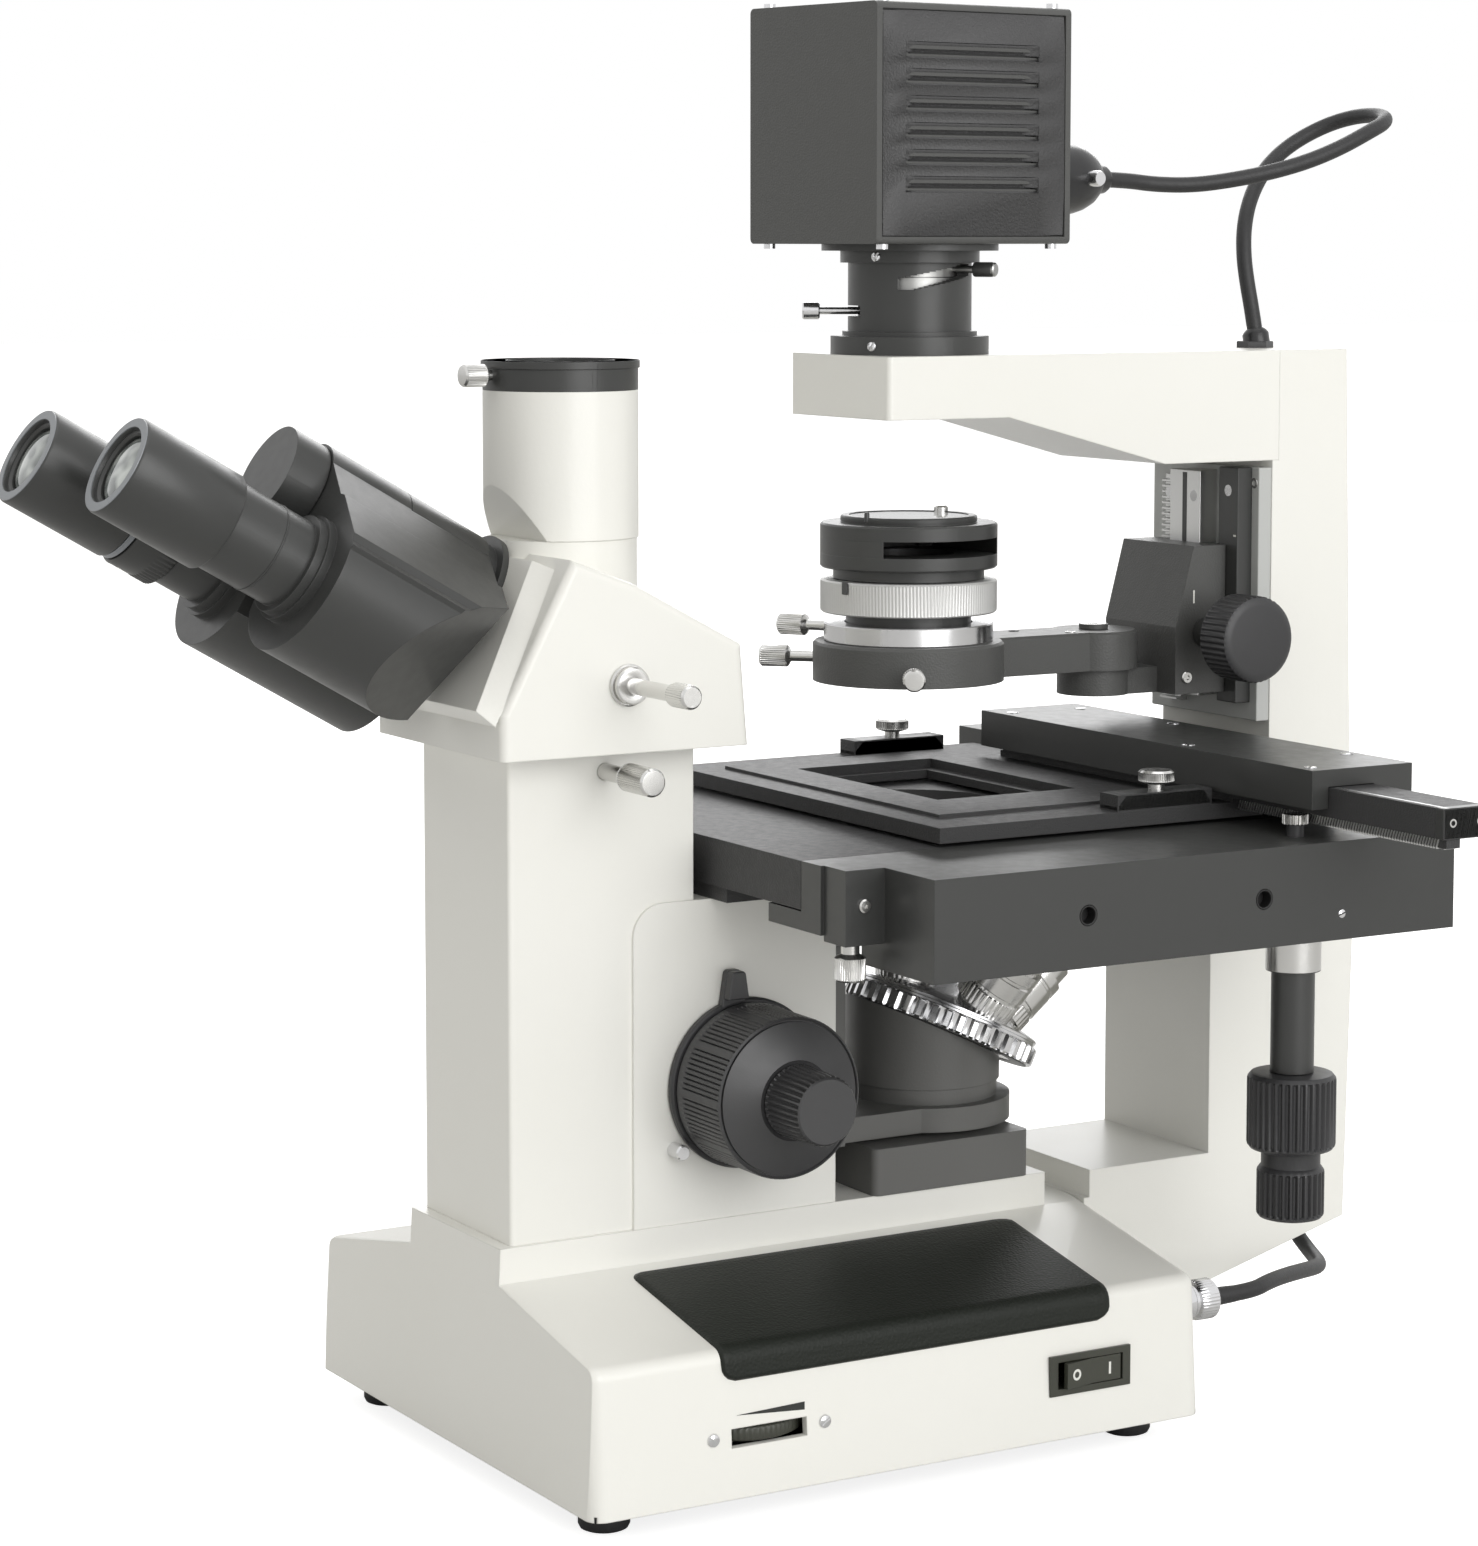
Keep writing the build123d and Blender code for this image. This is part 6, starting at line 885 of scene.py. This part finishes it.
knob_cluster = (0, 0, -0.7, -0.7)
height_knob = turned("condenser_height_knob",
                     [(0, 41), (14.6, 41), (15.6, 41.4), (16.4, 42.2), (16.5, 42.8, 1), (16.5, 55.4, 1), (16.0, 56.4), (14.6, 57.2),
                      (12.8, 57.5), (0, 57.5)], (0, 315, 286.5), (1, 0, 0), moulded, "condenser_knob",
                     ribs=44, pattern=knob_cluster)
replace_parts(height_knob, "condenser_knob")
turned("condenser_shaft", [(0, -21.6), (11.5, -21.6), (11.5, -10.6), (5, -10.6), (5, 23.3), (5.8, 23.3), (5.8, 41.2), (0, 41.2)],
       (0, 315, 286.5), (1, 0, 0), anodised, "condenser_knob", 64)


# Condenser rail: light grey painted strip, with an aluminium dovetail rail, a rack and a black stop bar on it.
strip_grey = Finish("light_grey_strip", (0.50, 0.51, 0.50), 0.42)
strip_grey.relief(strip_grey.noise(500), 0.03, 0.3)
strip = cut("rail_strip", [rectangle(-34.0, 34.0, 252, 350)], "Y", 332, 338.2, strip_grey, "frame", 0.5)
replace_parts(strip, "condenser_rail")
cut("dovetail_rail", [[(-9.7, 322), (9.7, 322), (9.7, 325.4), (7.4, 329.2), (7.4, 332.2), (-7.4, 332.2), (-7.4, 329.2),
                       (-9.7, 325.4)]], "Z", 260, 348, aluminium, "frame", 0.4)
# A thin black strip down the rail's face stands for its groove: painted shade.
cut("dovetail_groove_painted_shade", [rectangle(-1.4, 1.4, 261, 347)], "Y", 321.95, 322.3, anodised, "frame")
teeth = [(332.2, 256.0), (328.6, 256.0)]
pitch = 2.2
count = int((345 - 256) / pitch)
for step in range(count):
    z = 256.0 + step * pitch
    teeth += [(326.9, z + 0.45), (326.9, z + 1.15), (328.9, z + 1.6), (328.9, z + 2.2)]
teeth += [(328.9, 345.0), (332.2, 345.0)]
cut("height_rack", [teeth], "X", -21.6, -10.6, aluminium, "frame")
cut("stop_bar", [rectangle(17.7, 29.8, 259, 350)], "Y", 325, 332.2, anodised, "frame", 0.5)
cut("stop_bar_line", [rectangle(27.4, 29.0, 323.4, 324.1)], "Y", 324.9, 325.05, mark_white, "frame")
for index, place in enumerate(((23.7, 325.2, 341), (5.7, 322.2, 338), (-16.6, 327.1, 338), (30.9, 331.9, 344))):
    turned(f"rail_screw_{index}", [(0, -0.9), (0.9, -0.9), (1.1, 0.1), (1.9, 0.1), (2.2, -0.2), (2.2, -1.2), (0, -1.2)], place,
           (0, -1, 0), nickel, "frame", 24)

# Stage: black moving plate with two clips under thumb screws, a guide housing with small cover screws, and a
# cross bar with a polished rail and a helical rack, driven by two coaxial knobs below the apron.
def clip(name, x, out):
    """A specimen clip: a low bar whose ends are sloped, with a thin finger that reaches over the dish."""
    bar = cut(name, [[(220.0, 233.0), (262.0, 233.0), (262.0, 235.2), (258.5, 239.0), (223.5, 239.0), (220.0, 235.2)]], "X",
              x - 5.5, x + 5.5, anodised, "stage_x_carriage", 0.5)
    cut(name + "_finger", [[(x - out * 5.5, 251), (x - out * 5.5, 262), (x + out * 4.0, 262), (x + out * 4.0, 259)]], "Z", 233.05, 234.6,
        anodised, "stage_x_carriage", 0.3)
    return bar


clip("left_clip", -84.5, -1)
clip("right_clip", 93.5, 1)
for index, (x, y) in enumerate(((-40, 269), (20, 303), (75, 269), (125, 303), (-38, 300), (148, 268))):
    slotted_screw(f"guide_screw_{index}", (x, y, 251.1), (0, 0, 1), 2.4, 0.8, "stage_y_carriage", 0.5 + index)
slotted_screw("stage_plate_screw", (-78, 104, 225.8), (0, 0, 1), 3.4, 0.6, "frame", 1.0)
turned("lock_bracket_screw", [(0, 0), (3.3, 0), (3.3, 0.5), (2.5, 0.6), (2.4, 1.4), (1.9, 1.9), (0.8, 2.0), (0.5, 1.2), (0, 1.2)],
       (125.4, 96.0, 213.6), (1, 0, 0), nickel, "stage_y_carriage", 32)
slotted_screw("apron_screw", (156.6, 276.0, 200.0), (1, 0, 0), 1.6, 0.7, "stage_y_carriage", 0.3)
# Near-black finish: painted shade for the insides of holes and slits.
painted_hole_shade = Finish("painted_hole_shade", (0.010, 0.010, 0.010), 0.5)
painted_hole_shade.relief(painted_hole_shade.noise(900), 0.02)
rail_steel = Finish("rail_steel", (0.36, 0.36, 0.36), 0.25, metallic=1.0)
rail_steel.feed("Roughness", rail_steel.noise(500) * 0.2 + 0.2)
# Apron holes: near-black cups, painted shade inside the holes.
for index, (y, z) in enumerate(((166.5, 208.8), (241.5, 208.0))):
    turned(f"apron_hole_rim_{index}", [(0, -4.6), (2.9, -4.6), (2.9, -0.1), (3.1, 0.1), (3.45, 0.1), (3.6, -0.2), (3.6, -5), (0, -5)],
           (157, y, z), (1, 0, 0), painted_hole_shade, "stage_y_carriage", 40)
cut("bar_rail", [[(272.0, 244.8), (272.3, 245.22), (273.9, 245.22), (274.2, 244.8)]], "X", 156.5, 216.5, rail_steel,
    "stage_x_carriage")
cut("bar_end_plate", [rectangle(270.8, 291.2, 234.3, 245.2)], "X", 212.5, 217.0, anodised, "stage_x_carriage", 0.5)
for index, (y, z) in enumerate(((275, 240), (287, 240))):
    turned(f"bar_end_screw_{index}", [(0, -0.6), (0.8, -0.6), (0.9, 0.05), (1.5, 0.05), (1.5, -1.0), (0, -1.0)], (217.0, y, z), (1, 0, 0),
           nickel, "stage_x_carriage", 24)


def helical_rack(name, x0, x1, y0, y1, z0, z1, finish, body):
    """A rack with slanted teeth along X on its front face."""
    step = 1.45
    count = int((x1 - x0 - 2) / step)
    shape = bmesh.new()
    for index in range(count):
        x = x0 + 1 + index * step
        lean = 1.6
        low = [spot(x + 0.30, y0, z0), spot(x + 0.72, y0, z0), spot(x + 0.72 + lean, y0, z1), spot(x + 0.30 + lean, y0, z1)]
        high = [spot(x, y0 + 1.2, z0), spot(x + 1.1, y0 + 1.2, z0), spot(x + 1.1 + lean, y0 + 1.2, z1), spot(x + lean, y0 + 1.2, z1)]
        corners = [shape.verts.new(corner) for corner in low + high]
        shape.faces.new(corners[0:4])
        shape.faces.new(corners[4:8])
        for side in range(4):
            after = (side + 1) % 4
            shape.faces.new((corners[side], corners[after], corners[4 + after], corners[4 + side]))
    bmesh.ops.recalc_face_normals(shape, faces=shape.faces)
    mesh = bpy.data.meshes.new(name)
    shape.to_mesh(mesh)
    shape.free()
    build(name, mesh, finish, body)
    return cut(name + "_back", [rectangle(y0 + 1.1, y1, z0, z1)], "X", x0, x1, finish, body)


rack_steel = Finish("rack_steel", (0.55, 0.55, 0.54), 0.3, metallic=1.0)
rack_steel.feed("Roughness", rack_steel.noise(800) * 0.2 + 0.26)
helical_rack("cross_rack_teeth", 99.0, 214.0, 272.6, 279.4, 230.6, 234.7, rack_steel, "stage_x_carriage")

drive = (140, 268, 0)
ribbed = (0, 0, -1.15, -1.15)
big = turned("front_to_back_knob",
             [(3.1, 113), (13.2, 113), (14.8, 113.6), (15.7, 114.8), (15.9, 115.6, 1), (15.9, 138.6, 1), (15.7, 139.4), (14.6, 140.7),
              (13.2, 141), (5.5, 141), (5.5, 190.6), (3.1, 190.6)], drive, (0, 0, 1), moulded, "y_drive_knob",
             ribs=36, pattern=ribbed)
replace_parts(big, "y_drive_knob")
turned("front_to_back_pinion", [(3.1, 190.4), (5.5, 190.4), (6.6, 190.5, 0), (8.0, 191.0, 1), (8.0, 201.2, 1), (6.6, 201.7), (3.1, 201.7)],
       drive, (0, 0, 1), rack_steel, "y_drive_knob", ribs=26, pattern=(0, 0, -1.5, -1.5))
small = turned("side_to_side_knob",
               [(0, 88.0), (9.6, 88.0), (11.2, 88.5), (12.0, 89.6), (12.1, 90.2, 1), (12.1, 104.8, 1), (12.0, 105.6), (11.0, 107.0),
                (10.6, 107.2), (10.6, 111.4), (10.9, 112.6), (3.0, 112.7), (3.0, 230.5), (0, 230.5)], drive, (0, 0, 1), moulded,
               "x_drive_knob", ribs=28, pattern=ribbed)
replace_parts(small, "x_drive_knob")
turned("side_to_side_pinion", [(0, 230.4), (3.4, 230.4), (4.7, 230.7, 1), (4.7, 234.0, 1), (3.4, 234.2), (0, 234.2)], drive, (0, 0, 1),
       nickel, "x_drive_knob", ribs=18, pattern=(0, 0, -1.0, -1.0))
turned("drive_collar", [(7.8, 177.9), (9.4, 177.9), (9.9, 178.4), (9.9, 193.0), (7.8, 193.0)], drive, (0, 0, 1), nickel,
       "stage_y_carriage", 64)


# Lamp house: folded sheet steel with a fine textured powder coat. A louvred panel lies in a rim on each side;
# the louvres are pressed inward, each with a slanted roof over a dark slit, made darker by painted shade behind it.
# Small screws hold the cover.
panel_coat = Finish("textured_coat", (0.074, 0.074, 0.076), 0.40, shine=0.4)
panel_grain = panel_coat.noise(1100, 3, 0.6)
panel_coat.relief(panel_grain, 0.45)
panel_coat.feed("Roughness", panel_coat.noise(500) * 0.2 + 0.32)


def lamp_piece(name, shape, finish):
    """A mesh drawn in the lamp house's own millimetres, with its turn on the flange."""
    for vert in shape.verts:
        vert.co = spot(*on_lamp(*vert.co))
    bmesh.ops.recalc_face_normals(shape, faces=shape.faces)
    mesh = bpy.data.meshes.new(name)
    shape.to_mesh(mesh)
    shape.free()
    return build(name, mesh, finish, "frame", 0.0, 8)


HALF_X, HALF_Y, LOW, HIGH = 36.7, 46.6, 435.7, 522.1
middle = (LOW + HIGH) / 2
louvre_rows = [middle + (row - 2.5) * 9.6 + 0.02 * (HIGH - LOW) for row in range(6)]
for side, hand in ((1, "right"), (-1, "left")):
    face = HALF_X - 0.75
    y_ends = (-33.0, 31.0)
    shape = bmesh.new()
    border = [(-HALF_Y + 3.0, LOW + 3.0), (HALF_Y - 3.0, LOW + 3.0), (HALF_Y - 3.0, HIGH - 3.0), (-HALF_Y + 3.0, HIGH - 3.0)]
    columns = [-HALF_Y + 3.0, y_ends[0], y_ends[1], HALF_Y - 3.0]
    levels = [LOW + 3.0]
    for z in louvre_rows:
        levels += [z - 2.2, z + 3.6]
    levels.append(HIGH - 3.0)

    def quad(a, b, c, d):
        shape.faces.new([shape.verts.new(point) for point in (a, b, c, d)])

    for low, high in zip(levels, levels[1:]):
        holed = any(abs(low - (z - 2.2)) < 0.01 for z in louvre_rows)
        for left, right in zip(columns, columns[1:]):
            if holed and left == y_ends[0]:
                continue
            quad((side * face, left, low), (side * face, right, low), (side * face, right, high), (side * face, left, high))
    for (y0, z0), (y1, z1) in zip(border, border[1:] + border[:1]):
        quad((side * face, y0, z0), (side * face, y1, z1), (side * (face - 1.0), y1, z1), (side * (face - 1.0), y0, z0))
    for z in louvre_rows:
        low, high, deep, lip = z - 2.2, z + 3.6, 3.4, 0.5
        steps = 10
        outline = []
        for step in range(steps + 1):
            angle = math.pi / 2 + math.pi * step / steps
            outline.append(angle)
        for part in range(12):
            share0, share1 = part / 12, (part + 1) / 12
            y0 = y_ends[0] + (y_ends[1] - y_ends[0]) * share0
            y1 = y_ends[0] + (y_ends[1] - y_ends[0]) * share1

            def depth_at(y):
                near = min(y - y_ends[0], y_ends[1] - y)
                return deep * math.sqrt(max(0.0, 1 - max(0.0, 1 - near / 4.0) ** 2))

            roof = 5
            for strip in range(roof):
                a, b = strip / roof, (strip + 1) / roof
                za, zb = high - (high - z + 0.4) * a, high - (high - z + 0.4) * b
                xa0, xb0 = face - depth_at(y0) * math.sin(a * math.pi / 2), face - depth_at(y0) * math.sin(b * math.pi / 2)
                xa1, xb1 = face - depth_at(y1) * math.sin(a * math.pi / 2), face - depth_at(y1) * math.sin(b * math.pi / 2)
                quad((side * xa0, y0, za), (side * xa1, y1, za), (side * xb1, y1, zb), (side * xb0, y0, zb))
            quad((side * face, y0, low), (side * face, y1, low), (side * (face - 0.6), y1, low + lip), (side * (face - 0.6), y0, low + lip))
            quad((side * (face - 0.6), y0, low + lip), (side * (face - 0.6), y1, low + lip), (side * (face - 1.3), y1, low - 0.4),
                 (side * (face - 1.3), y0, low - 0.4))
    bmesh.ops.remove_doubles(shape, verts=shape.verts, dist=0.0005)
    panel = lamp_piece(f"louvre_panel_{hand}", shape, panel_coat)
    thick = panel.modifiers.new("sheet", "SOLIDIFY")
    thick.thickness = 0.0007
    thick.offset = -1
    # Near-black boxes behind the louvre slits: painted shade inside the lamp house.
    shade = bmesh.new()
    for z in louvre_rows:
        box = bmesh.ops.create_cube(shade, size=1)["verts"]
        bmesh.ops.scale(shade, vec=(0.4, y_ends[1] - y_ends[0] - 3, 2.6), verts=box)
        bmesh.ops.translate(shade, vec=(side * (face - 2.4), (y_ends[0] + y_ends[1]) / 2, z - 1.5), verts=box)
    lamp_piece(f"louvre_painted_shade_{hand}", shade, painted_hole_shade)
